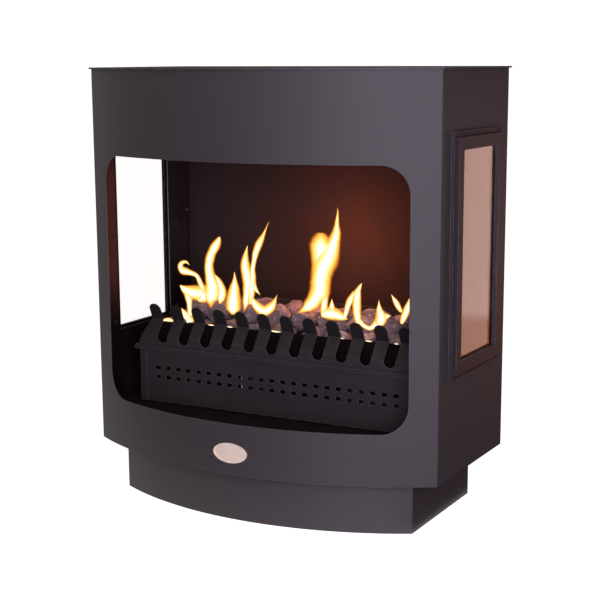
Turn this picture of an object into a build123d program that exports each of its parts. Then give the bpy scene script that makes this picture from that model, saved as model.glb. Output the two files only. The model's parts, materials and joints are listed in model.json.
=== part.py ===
from build123d import *
from math import asin, cos, sin, sqrt
import os

# Freestanding gas fireplace with a bowed front, standing on the floor at z = 0.
# The origin is the middle of its footprint, x runs to its right and y to its rear.

# Casing
body_width = 700.0
body_height = 700.0
side_depth = 305.0
bow_rise = 101.0
plinth_height = 95.0
sheet = 2.0
front_sheet = 3.0
top_thickness = 3.0
top_overhang = 4.0
seam_gap = 0.3
overrun = 5.0
hex_corners = 6

# Front opening, measured along the bow
post_width = 50.0
opening_top_margin = 154.0
opening_bottom_margin = 92.0
opening_corner_radius = 50.0

# Rear panel and its screws
side_flange = 12.0
rear_screw_radius = 2.0
rear_screw_head_radius = 4.0
rear_screw_head_height = 2.0
rear_screw_length = 8.0
rear_screw_end_margin = 40.0
rear_screw_count = 6
screw_clearance = 0.2

# Firebox floor, baffle and the angles that carry them
floor_drop = 25.0
angle_leg = 20.0
angle_end_margin = 30.0
baffle_drop = 50.0
baffle_front_slot = 45.0
bracket_length = 40.0
bracket_end_margin = 60.0

# Plinth
plinth_side_inset = 50.0
plinth_front_inset = 34.5
plinth_rear_inset = 36.5
plinth_flange = 20.0
plinth_bolt_radius = 4.0
plinth_bolt_head_radius = 7.0
plinth_bolt_head_height = 5.0
plinth_nut_height = 6.5
plinth_bolt_end_margin = 45.0

# Side windows
window_width = 164.0
window_height = 360.0
window_top_margin = 133.0
cutout_margin = 6.0
retainer_face = 21.0
retainer_rise = 11.5
retainer_sheet = 1.5
groove_width = 10.0
trim_rise = 6.5
trim_fit = 0.2
gasket_thickness = 1.0
glass_thickness = 4.0
glass_edge_gap = 0.5
window_screw_radius = 2.0
window_screw_head_radius = 3.5
window_screw_head_height = 1.8
window_screw_length = 9.0
window_screw_spacing = 168.0

# Badge plate
badge_width = 68.0
badge_height = 36.0
badge_thickness = 1.5
badge_rim_width = 3.0
badge_rim_rise = 1.0
badge_film = 0.1
badge_margin = 40.0
badge_stud_radius = 2.0
badge_stud_spacing = 44.0
badge_clip_radius = 5.0
badge_clip_thickness = 1.5

# Burner box
grate_setback = 46.8
grate_side_gap = 60.0
grate_depth = 190.0
grate_foot_height = 4.0
grate_foot_radius = 12.0
grate_foot_margin = 34.0
box_height = 102.0
box_sheet = 1.5
end_flange = 14.0
slot_columns = 23
slot_end_margin = 38.14
slot_width = 10.5
slot_height = 6.8
slot_row_gap = 18.0
slot_top_drop = 35.0

# Tray rim that sits on the box, with its upturned lip
rim_overhang = 8.0
rim_ledge = 30.0
rim_sheet = 2.0
rim_lip = 8.0

# Comb fender: band, lean back to the kink, then fingers bent forward
comb_sheet = 2.0
comb_gap = 4.2
comb_foot = 8.0
comb_band = 24.0
comb_lean = 22.0
comb_lean_height = 29.0
finger_lean = 14.0
finger_height = 32.0
comb_end_taper = 21.3
finger_count = 12
comb_slot_width = 23.0
comb_slot_drop = 41.0
comb_cheek = 18.0

# Coal guards, grid and coals
guard_height = 81.0
guard_sheet = 2.0
guard_setback = 186.0
guard_end_gap = 15.0
guard_foot = 7.0
front_guard_sheet = 1.5
front_guard_foot = 7.5
front_guard_setback = 14.2
front_guard_offset = 4.8
front_guard_drop = 3.0
grid_bar = 3.0
grid_bar_height = 8.0
grid_bar_count = 6
grid_height = 22.0
grid_side_margin = 22.0
grid_front_setback = 15.2
grid_rear_gap = 0.5
grid_cross_margin = 50.0
coal_length = 58.0
coal_width = 52.0
coal_height = 40.0
coal_flat = 4.0
coal_gap_share = 0.011
coal_rows = 3
coal_front_setback = 47.2

# Burner: two ported tubes, saddles, manifold, mixing tube and injector
tube_radius = 16.0
tube_wall = 1.5
tube_end_gap = 38.5
tube_front_setback = 48.2
tube_spacing = 90.0
tube_centre_drop = 28.0
port_radius = 1.5
port_count = 24
port_end_margin = 20.0
saddle_sheet = 2.0
saddle_overlap = 4.0
saddle_end_inset = 50.0
saddle_manifold_gap = 70.0
tube_seat_gap = 0.1
manifold_end_inset = 80.0
manifold_width = 40.0
manifold_height = 42.0
manifold_rise = 6.0
manifold_wall = 2.0
passage_radius = 5.0
mixing_radius = 11.0
mouth_radius = 15.0
mouth_length = 12.0
injector_air_gap = 8.0
injector_nose_radius = 5.0
injector_nose_length = 10.0
injector_hex_radius = 8.0
injector_hex_length = 16.0
injector_bore_radius = 1.2
spigot_radius = 6.0
spigot_nut_length = 5.0

# Gas tap
control_side_inset = 31.0
tap_axis_rise = 41.0
tap_width = 34.0
tap_height = 36.0
tap_length = 38.0
bracket_setback = 60.0
bracket_sheet = 2.0
bracket_width = 47.0
bracket_height = 100.0
bracket_flange = 20.0
tap_neck_radius = 8.0
tap_neck_proud = 1.0
neck_clearance = 0.2
panel_nut_height = 3.0
tap_nut_radius = 12.0
plug_radius = 10.0
plug_length = 24.0
plug_start = 5.0
running_clearance = 0.05
spindle_radius = 3.0
spindle_reach = 17.0
knob_travel = 4.0
knob_gap = 5.0
knob_radius = 19.0
knob_skirt = 5.0
knob_grip_radius = 15.0
knob_height = 20.0
knob_flute_radius = 4.0
knob_flute_count = 8
knob_pocket_radius = 8.0
knob_pocket_depth = 8.0
knob_bore_depth = 14.0
knob_edge = 1.5
pointer_width = 3.0
pointer_height = 1.0
spring_wire_radius = 0.5
spring_radius = 6.0
spring_turns = 4
spring_seat_gap = 0.3

# Piezo igniter
igniter_rise = 83.0
igniter_radius = 9.0
igniter_length = 44.0
collar_radius = 12.0
collar_height = 3.0
button_radius = 6.5
button_length = 23.0
button_rise = 8.0
button_travel = 6.0
button_bore_spare = 4.0
button_edge = 1.0
igniter_nut_radius = 13.0
igniter_nut_height = 4.0

# Pilot, thermocouple, spark electrode and their lines
pilot_offset = -55.0
pilot_spacing = 14.0
pilot_setback = 21.2
thermocouple_setback = 17.2
electrode_setback = 13.2
pilot_radius = 4.0
pilot_hood_radius = 5.5
pilot_hood_height = 10.0
pilot_foot_drop = 46.0
pilot_top_drop = 6.0
pilot_shelf_drop = 37.0
pilot_shelf_sheet = 2.0
pilot_shelf_margin = 10.0
pilot_leg_setback = 29.2
pilot_hole_clearance = 0.2
pilot_window_margin = 5.0
probe_radius = 2.5
probe_length = 62.0
ceramic_radius = 3.5
ceramic_length = 50.0
wire_tip_radius = 1.0
wire_tip_length = 10.0
pilot_pipe_radius = 2.0
pilot_pipe_drop = 10.0
lead_radius = 1.2
lead_drop = 15.0
spark_lead_radius = 1.5
spark_lead_rise = 12.0
spark_lead_rear = 122.0
spark_lead_inset = 28.0
line_bend = 10.0
line_hole_clearance = 0.4

# Gas inlet
inlet_side_inset = 100.0
inlet_height = 45.0
inlet_radius = 4.0
inlet_bend = 16.0
inlet_jog_height = 128.0
union_thread_radius = 6.6
union_thread_length = 15.0
union_hex_radius = 11.0
union_hex_length = 5.0
union_tail_length = 8.0
union_bore_radius = 3.0
grommet_radius = 9.0
grommet_wall = 3.0
grommet_lip = 1.5

# Places worked out from those sizes
half_width = body_width / 2
body_top = plinth_height + body_height
overall_depth = side_depth + bow_rise + 2 * top_overhang
rear_y = overall_depth / 2 - top_overhang
corner_y = rear_y - side_depth
apex_y = corner_y - bow_rise
bow_radius = (half_width**2 + bow_rise**2) / (2 * bow_rise)
bow_centre_y = apex_y + bow_radius
inner_half = half_width - sheet
inner_radius = bow_radius - front_sheet - seam_gap
inner_rear_y = rear_y - 2 * sheet
opening_low = plinth_height + opening_bottom_margin
opening_high = body_top - opening_top_margin
floor_top = opening_low - floor_drop
floor_bottom = floor_top - sheet
control_offset = half_width - control_side_inset
inlet_offset = half_width - inlet_side_inset

parts = {}


def keep(name, *shapes):
    """Name a sub-part and hold its separate solids."""
    solids = [solid for shape in shapes for solid in shape.solids()]
    parts[name] = Compound(children=solids)


def block(xs, ys, zs):
    """Rectangular solid between three pairs of low and high places."""
    spans = (xs, ys, zs)
    middle = [(low + high) / 2 for low, high in spans]
    size = [high - low for low, high in spans]
    return Pos(*middle) * Box(*size)


def disc(radius, zs):
    """Upright cylinder about the centre of the bow."""
    low, high = zs
    aligned = (Align.CENTER, Align.CENTER, Align.MIN)
    return Pos(0, bow_centre_y, low) * Cylinder(radius, high - low, align=aligned)


def bow_slab(half, radius, back_y, zs):
    """Slab with straight sides and back and a bowed front."""
    front_y = bow_centre_y - radius - overrun
    return block((-half, half), (front_y, back_y), zs) & disc(radius, zs)


def prism_x(outline, xs):
    """Solid with a y-z outline between two x places."""
    low, high = xs
    return extrude(Plane.YZ.offset(low) * outline, amount=high - low)


def prism_y(outline, ys):
    """Solid with an x-z outline between two y places."""
    low, high = ys
    return extrude(Plane.XZ.offset(-high) * outline, amount=high - low)


def rod(start, end, radius):
    """Round bar between two points."""
    start, end = Vector(*start), Vector(*end)
    along = end - start
    return extrude(Plane(origin=start, z_dir=along) * Circle(radius), amount=along.length)


def hexagon_bar(start, end, radius):
    """Six-sided bar between two points, with its corners at the radius."""
    start, end = Vector(*start), Vector(*end)
    along = end - start
    section = Plane(origin=start, z_dir=along) * RegularPolygon(radius, hex_corners)
    return extrude(section, amount=along.length)


def line_run(points, bend, radius):
    """Pipe or lead in straight runs with a bend at each corner."""
    path = FilletPolyline(*points, radius=bend)
    return sweep(Plane(origin=path @ 0, z_dir=path % 0) * Circle(radius), path)


def window_ring(outer, inner, xs):
    """Rectangular ring round the window's middle, sizes as width and height."""
    frame = Rectangle(*outer) - Rectangle(*inner)
    return prism_x(Pos(window_y, window_z) * frame, xs)


def both_sides(shape):
    """The shape and its mirror image on the left."""
    return [shape, mirror(shape, about=Plane.YZ)]


# Top plate
top_span = (body_top, body_top + top_thickness)
keep(
    "top_plate",
    bow_slab(half_width + top_overhang, bow_radius + top_overhang, rear_y + top_overhang, top_span),
)

# Front panel, rolled to the bow, with its opening
body_span = (plinth_height, body_top)
front_panel = disc(bow_radius, body_span) - disc(bow_radius - front_sheet, body_span)
front_panel &= block((-half_width, half_width), (apex_y - overrun, bow_centre_y), body_span)
post_angle = asin(half_width / bow_radius) - post_width / bow_radius
opening_half = bow_radius * sin(post_angle)
narrowing_share = cos(post_angle)
opening_outline = RectangleRounded(
    2 * opening_half / narrowing_share,
    opening_high - opening_low,
    opening_corner_radius,
)
opening_outline = scale(opening_outline, by=(narrowing_share, 1, 1))
opening_middle = (opening_low + opening_high) / 2
front_panel -= prism_y(Pos(0, opening_middle) * opening_outline, (apex_y - overrun, corner_y))

# Badge plate on its two studs, which pass through the front panel
badge_z = plinth_height + badge_margin
badge_ys = (apex_y - overrun, apex_y + overrun)
badge_oval = Pos(0, badge_z) * Ellipse(badge_width / 2, badge_height / 2)
badge_inner_oval = Pos(0, badge_z) * Ellipse(
    badge_width / 2 - badge_rim_width, badge_height / 2 - badge_rim_width
)
badge_back_radius = bow_radius + badge_film
badge_face_radius = badge_back_radius + badge_thickness
badge_zs = (badge_z - badge_height, badge_z + badge_height)
badge_sheet = disc(badge_face_radius, badge_zs) - disc(badge_back_radius, badge_zs)
rim_sheet_solid = disc(badge_face_radius + badge_rim_rise, badge_zs) - disc(badge_face_radius, badge_zs)
badge_plate = prism_y(badge_oval, badge_ys) & badge_sheet
badge_plate += prism_y(badge_oval - badge_inner_oval, badge_ys) & rim_sheet_solid
keep("badge_plate", badge_plate)
badge_studs = []
for stud_x in (-badge_stud_spacing / 2, badge_stud_spacing / 2):
    inner_face_y = bow_centre_y - sqrt((bow_radius - front_sheet) ** 2 - stud_x**2) + seam_gap
    clip_y = inner_face_y + badge_clip_thickness
    stud = rod((stud_x, apex_y - overrun, badge_z), (stud_x, clip_y, badge_z), badge_stud_radius)
    stud &= disc(badge_back_radius, badge_zs)
    stud += rod((stud_x, inner_face_y, badge_z), (stud_x, clip_y, badge_z), badge_clip_radius)
    badge_studs.append(stud)
    front_panel -= rod(
        (stud_x, apex_y - overrun, badge_z),
        (stud_x, clip_y, badge_z),
        badge_stud_radius + screw_clearance,
    )
keep("badge_studs", *badge_studs)
keep("front_panel", front_panel)

# Side windows, made for the right side and mirrored
window_y = (corner_y + rear_y) / 2
window_z = body_top - window_top_margin - window_height / 2
clear_size = (window_width, window_height)


def grown(size, margin):
    """Width and height with a margin added all round."""
    return tuple(length + 2 * margin for length in size)


cutout_size = grown(clear_size, cutout_margin)
retainer_size = grown(clear_size, retainer_face)
trim_size = grown(retainer_size, groove_width)
foot_x = half_width + retainer_sheet
face_x = half_width + retainer_rise
glass_back_x = half_width + gasket_thickness
glass_front_x = glass_back_x + glass_thickness
pane_size = grown(retainer_size, -retainer_sheet - glass_edge_gap)
trim_base_x = foot_x + retainer_sheet

retainer = window_ring(trim_size, clear_size, (half_width, foot_x))
inside_size = grown(retainer_size, -retainer_sheet)
retainer -= window_ring(inside_size, grown(clear_size, -overrun), (half_width, foot_x))
retainer += window_ring(retainer_size, inside_size, (half_width, face_x))
retainer += window_ring(retainer_size, clear_size, (face_x - retainer_sheet, face_x))
retainer += window_ring(grown(clear_size, retainer_sheet), clear_size, (glass_front_x, face_x))
trim = window_ring(trim_size, grown(retainer_size, trim_fit), (foot_x, trim_base_x))
trim_edge_x = foot_x + trim_rise - retainer_sheet
trim += window_ring(trim_size, grown(trim_size, -retainer_sheet), (foot_x, trim_edge_x))
glass = prism_x(Pos(window_y, window_z) * Rectangle(*pane_size), (glass_back_x, glass_front_x))
gasket = window_ring(pane_size, cutout_size, (half_width, glass_back_x))

groove_middle = (trim_size[0] / 2 - retainer_sheet + retainer_size[0] / 2) / 2
screw_places = [
    (window_y + side * groove_middle, window_z + step * window_screw_spacing)
    for side in (-1, 1)
    for step in (-1, 0, 1)
]
window_screws = []
for screw_y, screw_z in screw_places:
    seat = (trim_base_x, screw_y, screw_z)
    head_top = (trim_base_x + window_screw_head_height, screw_y, screw_z)
    tail = (trim_base_x - window_screw_length, screw_y, screw_z)
    head = rod(seat, head_top, window_screw_head_radius)
    head = fillet(head.edges().group_by(Axis.X)[-1], window_screw_head_height / 2)
    window_screws.append(head + rod(tail, seat, window_screw_radius))
    screw_hole = rod(tail, head_top, window_screw_radius + screw_clearance)
    retainer -= screw_hole
    trim -= screw_hole

# Side panel with the window cut-out and a rear flange
side_panel = block((inner_half, half_width), (apex_y, rear_y - sheet), body_span)
side_panel += block((half_width - side_flange, half_width), (inner_rear_y, rear_y - sheet), body_span)
side_panel &= disc(inner_radius, body_span)
side_panel -= prism_x(
    Pos(window_y, window_z) * Rectangle(*cutout_size),
    (inner_half - overrun, half_width + overrun),
)
for screw_y, screw_z in screw_places:
    side_panel -= rod(
        (trim_base_x - window_screw_length, screw_y, screw_z),
        (trim_base_x, screw_y, screw_z),
        window_screw_radius + screw_clearance,
    )

# Rear panel, screwed to the side panels' flanges from behind
rear_panel = block((-half_width, half_width), (rear_y - sheet, rear_y), body_span)
rear_screw_x = half_width - side_flange / 2
rear_screw_step = (body_height - 2 * rear_screw_end_margin) / (rear_screw_count - 1)
rear_screws = []
for number in range(rear_screw_count):
    screw_z = plinth_height + rear_screw_end_margin + number * rear_screw_step
    seat = (rear_screw_x, rear_y, screw_z)
    head = rod(seat, (rear_screw_x, rear_y + rear_screw_head_height, screw_z), rear_screw_head_radius)
    head = fillet(head.edges().group_by(Axis.Y)[-1], rear_screw_head_height / 2)
    tail = (rear_screw_x, rear_y - rear_screw_length, screw_z)
    rear_screws += both_sides(head + rod(tail, seat, rear_screw_radius))
    screw_hole = rod(tail, seat, rear_screw_radius + screw_clearance)
    side_panel -= screw_hole
    for hole in both_sides(screw_hole):
        rear_panel -= hole
keep("rear_panel", rear_panel)
keep("rear_screws", *rear_screws)

for side_name, turned in (("right", False), ("left", True)):
    for piece_name, piece in (
        ("side_panel", side_panel),
        ("window_retainer", retainer),
        ("window_trim", trim),
        ("window_glass", glass),
    ):
        keep(f"{piece_name}_{side_name}", mirror(piece, about=Plane.YZ) if turned else piece)
keep("window_gaskets", *both_sides(gasket))
keep("window_screws", *[screw for right_screw in window_screws for screw in both_sides(right_screw)])

# Baffle under the top plate, its brackets, and the angles under top plate and floor
baffle_top = body_top - baffle_drop
baffle_bottom = baffle_top - sheet
keep(
    "heat_baffle",
    bow_slab(inner_half, inner_radius - baffle_front_slot, inner_rear_y, (baffle_bottom, baffle_top)),
)


def side_angle(top_z, ys):
    """Angle along the right side panel, with its flat leg on top."""
    leg_x = inner_half - angle_leg
    angle = block((leg_x, inner_half), ys, (top_z - sheet, top_z))
    return angle + block((inner_half - sheet, inner_half), ys, (top_z - angle_leg, top_z))


angle_ys = (corner_y + angle_end_margin, inner_rear_y - angle_end_margin)
front_bracket_y = corner_y + bracket_end_margin
rear_bracket_y = inner_rear_y - bracket_end_margin - bracket_length
keep(
    "baffle_brackets",
    *both_sides(side_angle(baffle_bottom, (front_bracket_y, front_bracket_y + bracket_length))),
    *both_sides(side_angle(baffle_bottom, (rear_bracket_y, rear_bracket_y + bracket_length))),
)
keep(
    "side_angles",
    *both_sides(side_angle(body_top, angle_ys)),
    *both_sides(side_angle(floor_bottom, angle_ys)),
)

# Firebox floor and base panel, with holes for the gas pipe
tap_y = corner_y + bracket_setback + bracket_sheet
tap_outlet_y = tap_y + (tap_length + bracket_sheet) / 2
tap_z = floor_top + tap_axis_rise
grommet_hole_radius = inlet_radius + grommet_wall
firebox_floor = bow_slab(inner_half, inner_radius, inner_rear_y, (floor_bottom, floor_top))
base_top = plinth_height + sheet
base_panel = bow_slab(inner_half, inner_radius, inner_rear_y, (plinth_height, base_top))
grommets = []
for hole_x, low, high in (
    (inlet_offset, plinth_height, base_top),
    (control_offset, floor_bottom, floor_top),
):
    hole = rod((hole_x, tap_outlet_y, low), (hole_x, tap_outlet_y, high), grommet_hole_radius)
    base_panel -= hole
    firebox_floor -= hole
    grommet = hole
    for lip_low, lip_high in ((low - grommet_lip, low), (high, high + grommet_lip)):
        grommet += rod((hole_x, tap_outlet_y, lip_low), (hole_x, tap_outlet_y, lip_high), grommet_radius)
    grommet -= rod(
        (hole_x, tap_outlet_y, low - grommet_lip),
        (hole_x, tap_outlet_y, high + grommet_lip),
        inlet_radius + running_clearance,
    )
    grommets.append(grommet)
keep("pipe_grommets", *grommets)
keep("firebox_floor", firebox_floor)

# Plinth: a skirt with flat rings at top and foot and a flanged rear, bolted to the base panel
plinth_half = half_width - plinth_side_inset
plinth_radius = bow_radius - plinth_front_inset
plinth_rear_y = rear_y - plinth_rear_inset
plinth_core = (plinth_half - plinth_flange, plinth_radius - plinth_flange)
plinth_full_zs = (-overrun, plinth_height + overrun)
skirt = bow_slab(plinth_half, plinth_radius, plinth_rear_y - sheet, (0, plinth_height))
skirt -= bow_slab(plinth_half - sheet, plinth_radius - sheet, plinth_rear_y, plinth_full_zs)
ring_edge = (plinth_half - sheet - seam_gap, plinth_radius - sheet - seam_gap)
ring_core = bow_slab(*plinth_core, plinth_rear_y, plinth_full_zs)
foot_ring = bow_slab(*ring_edge, plinth_rear_y - sheet, (0, sheet)) - ring_core
top_ring = bow_slab(*ring_edge, plinth_rear_y - sheet, (plinth_height - sheet, plinth_height)) - ring_core
plinth_rear = block((-plinth_half, plinth_half), (plinth_rear_y - sheet, plinth_rear_y), (0, plinth_height))
for flange_zs in ((0, sheet), (plinth_height - sheet, plinth_height)):
    plinth_rear += block(
        (seam_gap - plinth_core[0], plinth_core[0] - seam_gap),
        (plinth_rear_y - plinth_flange, plinth_rear_y),
        flange_zs,
    )
bolt_x = plinth_half - sheet - (plinth_flange - sheet) / 2
plinth_bolts = []
for bolt_y in (corner_y + plinth_bolt_end_margin, plinth_rear_y - plinth_bolt_end_margin):
    flange_low = plinth_height - sheet
    nut_low = flange_low - plinth_nut_height
    head_top = base_top + plinth_bolt_head_height
    shank = rod((bolt_x, bolt_y, nut_low), (bolt_x, bolt_y, base_top), plinth_bolt_radius)
    head = hexagon_bar((bolt_x, bolt_y, base_top), (bolt_x, bolt_y, head_top), plinth_bolt_head_radius)
    shank_hole = rod(
        (bolt_x, bolt_y, nut_low),
        (bolt_x, bolt_y, base_top),
        plinth_bolt_radius + screw_clearance,
    )
    nut = hexagon_bar((bolt_x, bolt_y, nut_low), (bolt_x, bolt_y, flange_low), plinth_bolt_head_radius)
    plinth_bolts += both_sides(shank + head) + both_sides(nut - shank_hole)
    for hole in both_sides(shank_hole):
        top_ring -= hole
        base_panel -= hole
keep("base_panel", base_panel)
keep("plinth_bolts", *plinth_bolts)
keep("plinth_skirt", skirt)
keep("plinth_foot_ring", foot_ring)
keep("plinth_top_ring", top_ring)

# Inlet union through the plinth rear, and the pipe that rises from it to the tap
union_hole_radius = union_thread_radius + screw_clearance


def union_rod(near_y, far_y, radius):
    """Round length on the inlet union's axis."""
    return rod((inlet_offset, near_y, inlet_height), (inlet_offset, far_y, inlet_height), radius)


hex_out_y = plinth_rear_y + union_hex_length
union_end_y = hex_out_y + union_thread_length
union_tail_y = plinth_rear_y - sheet - union_tail_length
inlet_union = union_rod(union_tail_y, union_end_y, union_thread_radius)
inlet_union += hexagon_bar(
    (inlet_offset, plinth_rear_y, inlet_height),
    (inlet_offset, hex_out_y, inlet_height),
    union_hex_radius,
)
inlet_union += hexagon_bar(
    (inlet_offset, union_tail_y, inlet_height),
    (inlet_offset, plinth_rear_y - sheet, inlet_height),
    union_hex_radius,
)
inlet_union -= union_rod(union_tail_y, union_end_y, union_bore_radius)
keep("inlet_union", inlet_union)
plinth_rear -= union_rod(plinth_rear_y - sheet, plinth_rear_y, union_hole_radius)
keep("plinth_rear", plinth_rear)
tap_bottom = tap_z - tap_height / 2
inlet_route = [
    (inlet_offset, union_tail_y, inlet_height),
    (inlet_offset, tap_outlet_y, inlet_height),
    (inlet_offset, tap_outlet_y, inlet_jog_height),
    (control_offset, tap_outlet_y, inlet_jog_height),
    (control_offset, tap_outlet_y, tap_bottom),
]
keep("inlet_pipe", line_run(inlet_route, inlet_bend, inlet_radius))

# Burner box: perforated front, tray, end caps with front flanges, feet
grate_half = half_width - grate_side_gap
grate_front_y = corner_y + grate_setback
grate_rear_y = grate_front_y + grate_depth
box_low = floor_top + grate_foot_height
box_high = box_low + box_height
box_inner_half = grate_half - box_sheet
slot_pitch = 2 * (box_inner_half - slot_end_margin) / (slot_columns - 1)
box_front = block(
    (-box_inner_half, box_inner_half), (grate_front_y, grate_front_y + box_sheet), (box_low, box_high)
)
for column in range(slot_columns):
    slot_x = (column - (slot_columns - 1) / 2) * slot_pitch
    for row in range(2):
        slot_z = box_high - slot_top_drop - row * slot_row_gap
        box_front -= block(
            (slot_x - slot_width / 2, slot_x + slot_width / 2),
            (grate_front_y - overrun, grate_front_y + overrun),
            (slot_z - slot_height / 2, slot_z + slot_height / 2),
        )
keep("burner_box_front", box_front)
box_inside_y = grate_front_y + box_sheet
box_floor_top = box_low + box_sheet
box_tray = block((-box_inner_half, box_inner_half), (box_inside_y, grate_rear_y), (box_low, box_floor_top))
box_tray += block(
    (-box_inner_half, box_inner_half), (grate_rear_y - box_sheet, grate_rear_y), (box_low, box_high)
)
keep("burner_box_tray", box_tray)
end_front_y = grate_front_y - box_sheet
box_end = block((box_inner_half, grate_half), (end_front_y, grate_rear_y), (box_low, box_high))
box_end += block(
    (grate_half - end_flange, grate_half), (end_front_y, grate_front_y), (box_low, box_high)
)
keep("burner_box_end_left", mirror(box_end, about=Plane.YZ))
feet = []
for foot_y in (grate_front_y + grate_foot_margin, grate_rear_y - grate_foot_margin):
    foot_place = grate_half - grate_foot_margin
    foot = rod((foot_place, foot_y, floor_top), (foot_place, foot_y, box_low), grate_foot_radius)
    feet += both_sides(foot)
keep("grate_feet", *feet)

# Tray rim on the box, with an upturned lip all round
rim_half = grate_half + rim_overhang
rim_ys = (grate_front_y - rim_overhang, grate_rear_y + rim_overhang)
rim_top = box_high + rim_sheet
rim_inner_ys = (rim_ys[0] + rim_ledge, rim_ys[1] - rim_ledge)
rim_inner_half = rim_half - rim_ledge
rim_zs = (box_high, box_high + rim_lip)
tray_rim = block((-rim_half, rim_half), rim_ys, rim_zs)
tray_rim -= block(
    (rim_sheet - rim_half, rim_half - rim_sheet),
    (rim_ys[0] + rim_sheet, rim_ys[1] - rim_sheet),
    (rim_top, box_high + rim_lip),
)
tray_rim -= block((-rim_inner_half, rim_inner_half), rim_inner_ys, rim_zs)
electrode_x = pilot_offset - pilot_spacing
probe_x = pilot_offset + pilot_spacing
electrode_y = grate_front_y + electrode_setback
shelf_xs = (electrode_x - pilot_shelf_margin, probe_x + pilot_shelf_margin)
tray_rim -= block(shelf_xs, (electrode_y - pilot_window_margin, rim_inner_ys[0]), (box_high, rim_top))
keep("tray_rim", tray_rim)

# Comb fender: one folded sheet, cut into fingers
comb_y = rim_ys[0] + rim_sheet + comb_gap
comb_band_top = rim_top + comb_band
comb_kink_y = comb_y + comb_lean
comb_kink_z = comb_band_top + comb_lean_height
comb_top = comb_kink_z + finger_height
comb_line = Polyline(
    (comb_y + comb_foot, rim_top),
    (comb_y, rim_top),
    (comb_y, comb_band_top),
    (comb_kink_y, comb_kink_z),
    (comb_kink_y - finger_lean, comb_top),
)
comb_section = make_face(offset(comb_line, amount=comb_sheet, side=Side.RIGHT, closed=True))
comb_half = rim_half - rim_sheet - seam_gap
comb = prism_x(comb_section, (-comb_half, comb_half))
kink_half = comb_half - comb_end_taper
finger_pitch = (2 * kink_half + comb_slot_width) / finger_count
finger_width = finger_pitch - comb_slot_width
last_finger_x = finger_pitch * (finger_count - 1) / 2
outline = make_face(
    Polyline(
        (-comb_half, rim_top),
        (comb_half, rim_top),
        (kink_half, comb_kink_z),
        (-kink_half, comb_kink_z),
        close=True,
    )
)
for number in range(finger_count):
    finger_x = number * finger_pitch - last_finger_x
    tip_z = comb_top - finger_width / 2
    outline += Pos(finger_x, (comb_kink_z + tip_z) / 2) * Rectangle(finger_width, tip_z - comb_kink_z)
    outline += Pos(finger_x, tip_z) * Circle(finger_width / 2)
slot_low = comb_kink_z - comb_slot_drop
slot_radius = comb_slot_width / 2
for number in range(finger_count - 1):
    slot_x = (number + 1 / 2) * finger_pitch - last_finger_x
    slot_centre_z = slot_low + slot_radius
    outline -= Pos(slot_x, slot_centre_z) * Circle(slot_radius)
    outline -= Pos(slot_x, (slot_centre_z + comb_top) / 2) * Rectangle(
        comb_slot_width, comb_top - slot_centre_z
    )
comb_depths = (comb_y - comb_lean, comb_kink_y + comb_lean)
comb &= prism_y(outline, comb_depths)
cheek = prism_x(
    make_face(
        Polyline(
            (comb_y + comb_sheet, rim_top),
            (comb_y + comb_cheek, rim_top),
            (comb_y + comb_cheek, comb_band_top),
            (comb_y + comb_sheet, comb_band_top),
            close=True,
        )
    ),
    (comb_half - comb_sheet, comb_half),
)
cheek &= prism_y(outline, comb_depths)
for piece in both_sides(cheek):
    comb += piece
keep("fender_comb", comb)

# Front coal guard: a footed plate that stands behind the fender and leans back with it
lean_share = comb_lean / comb_lean_height
front_guard_y = grate_front_y + front_guard_setback
front_guard_bend = comb_band_top + (front_guard_y - front_guard_offset - comb_y) / lean_share
front_guard_top = comb_kink_z - front_guard_drop
front_guard_line = Polyline(
    (front_guard_y - front_guard_foot, rim_top),
    (front_guard_y, rim_top),
    (front_guard_y, front_guard_bend),
    (front_guard_y + (front_guard_top - front_guard_bend) * lean_share, front_guard_top),
)
front_guard_section = offset(front_guard_line, amount=front_guard_sheet, side=Side.LEFT, closed=True)
keep("front_coal_guard", prism_x(make_face(front_guard_section), (-kink_half, kink_half)))

# Coal guard along the rear of the rim
guard_y = grate_front_y + guard_setback
guard_half = rim_half - guard_end_gap
guard_zs = (rim_top, rim_top + guard_height)
coal_guard = block((-guard_half, guard_half), (guard_y, guard_y + guard_sheet), guard_zs)
coal_guard += block(
    (-guard_half, guard_half),
    (guard_y, guard_y + guard_sheet + guard_foot),
    (rim_top, rim_top + guard_sheet),
)
keep("coal_guard", coal_guard)

# Coal grid: three cross plates that stand on the rim, with long bars welded across them
grid_top = rim_top + grid_height
grid_front_y = grate_front_y + grid_front_setback
grid_back_y = guard_y - grid_rear_gap
grid_half = rim_half - rim_ledge - grid_side_margin / 2
cross_offset = grate_half - grid_cross_margin
bar_low = grid_top - grid_bar_height
grid_pieces = []
for cross_x in (-cross_offset, 0, cross_offset):
    cross_xs = (cross_x - grid_bar / 2, cross_x + grid_bar / 2)
    grid_pieces.append(block(cross_xs, (grid_front_y, grid_back_y), (rim_top, bar_low)))
bar_step = (grid_back_y - grid_front_y - 3 * grid_bar) / (grid_bar_count - 1)
for number in range(grid_bar_count):
    bar_y = grid_front_y + 3 * grid_bar / 2 + number * bar_step
    bar_ys = (bar_y - grid_bar / 2, bar_y + grid_bar / 2)
    grid_pieces.append(block((-grid_half, grid_half), bar_ys, (bar_low, grid_top)))
keep("coal_grid", *grid_pieces)

# Ceramic coals: a flat-bottomed lower layer, and an upper layer in its hollows
coal_pitch_share = 1 + coal_gap_share
coal_step_x = coal_length * coal_pitch_share
coal_step_y = coal_width * coal_pitch_share
last_coal_x = grid_half - coal_length / 4
coal_columns = 1 + int(2 * last_coal_x / coal_step_x)
lower_z = grid_top - coal_flat + coal_height / 2
stack_share = sqrt((2 * coal_pitch_share) ** 2 - 2 * coal_pitch_share**2)
upper_z = lower_z + stack_share * coal_height / 2
coal_front_y = grate_front_y + coal_front_setback


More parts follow.
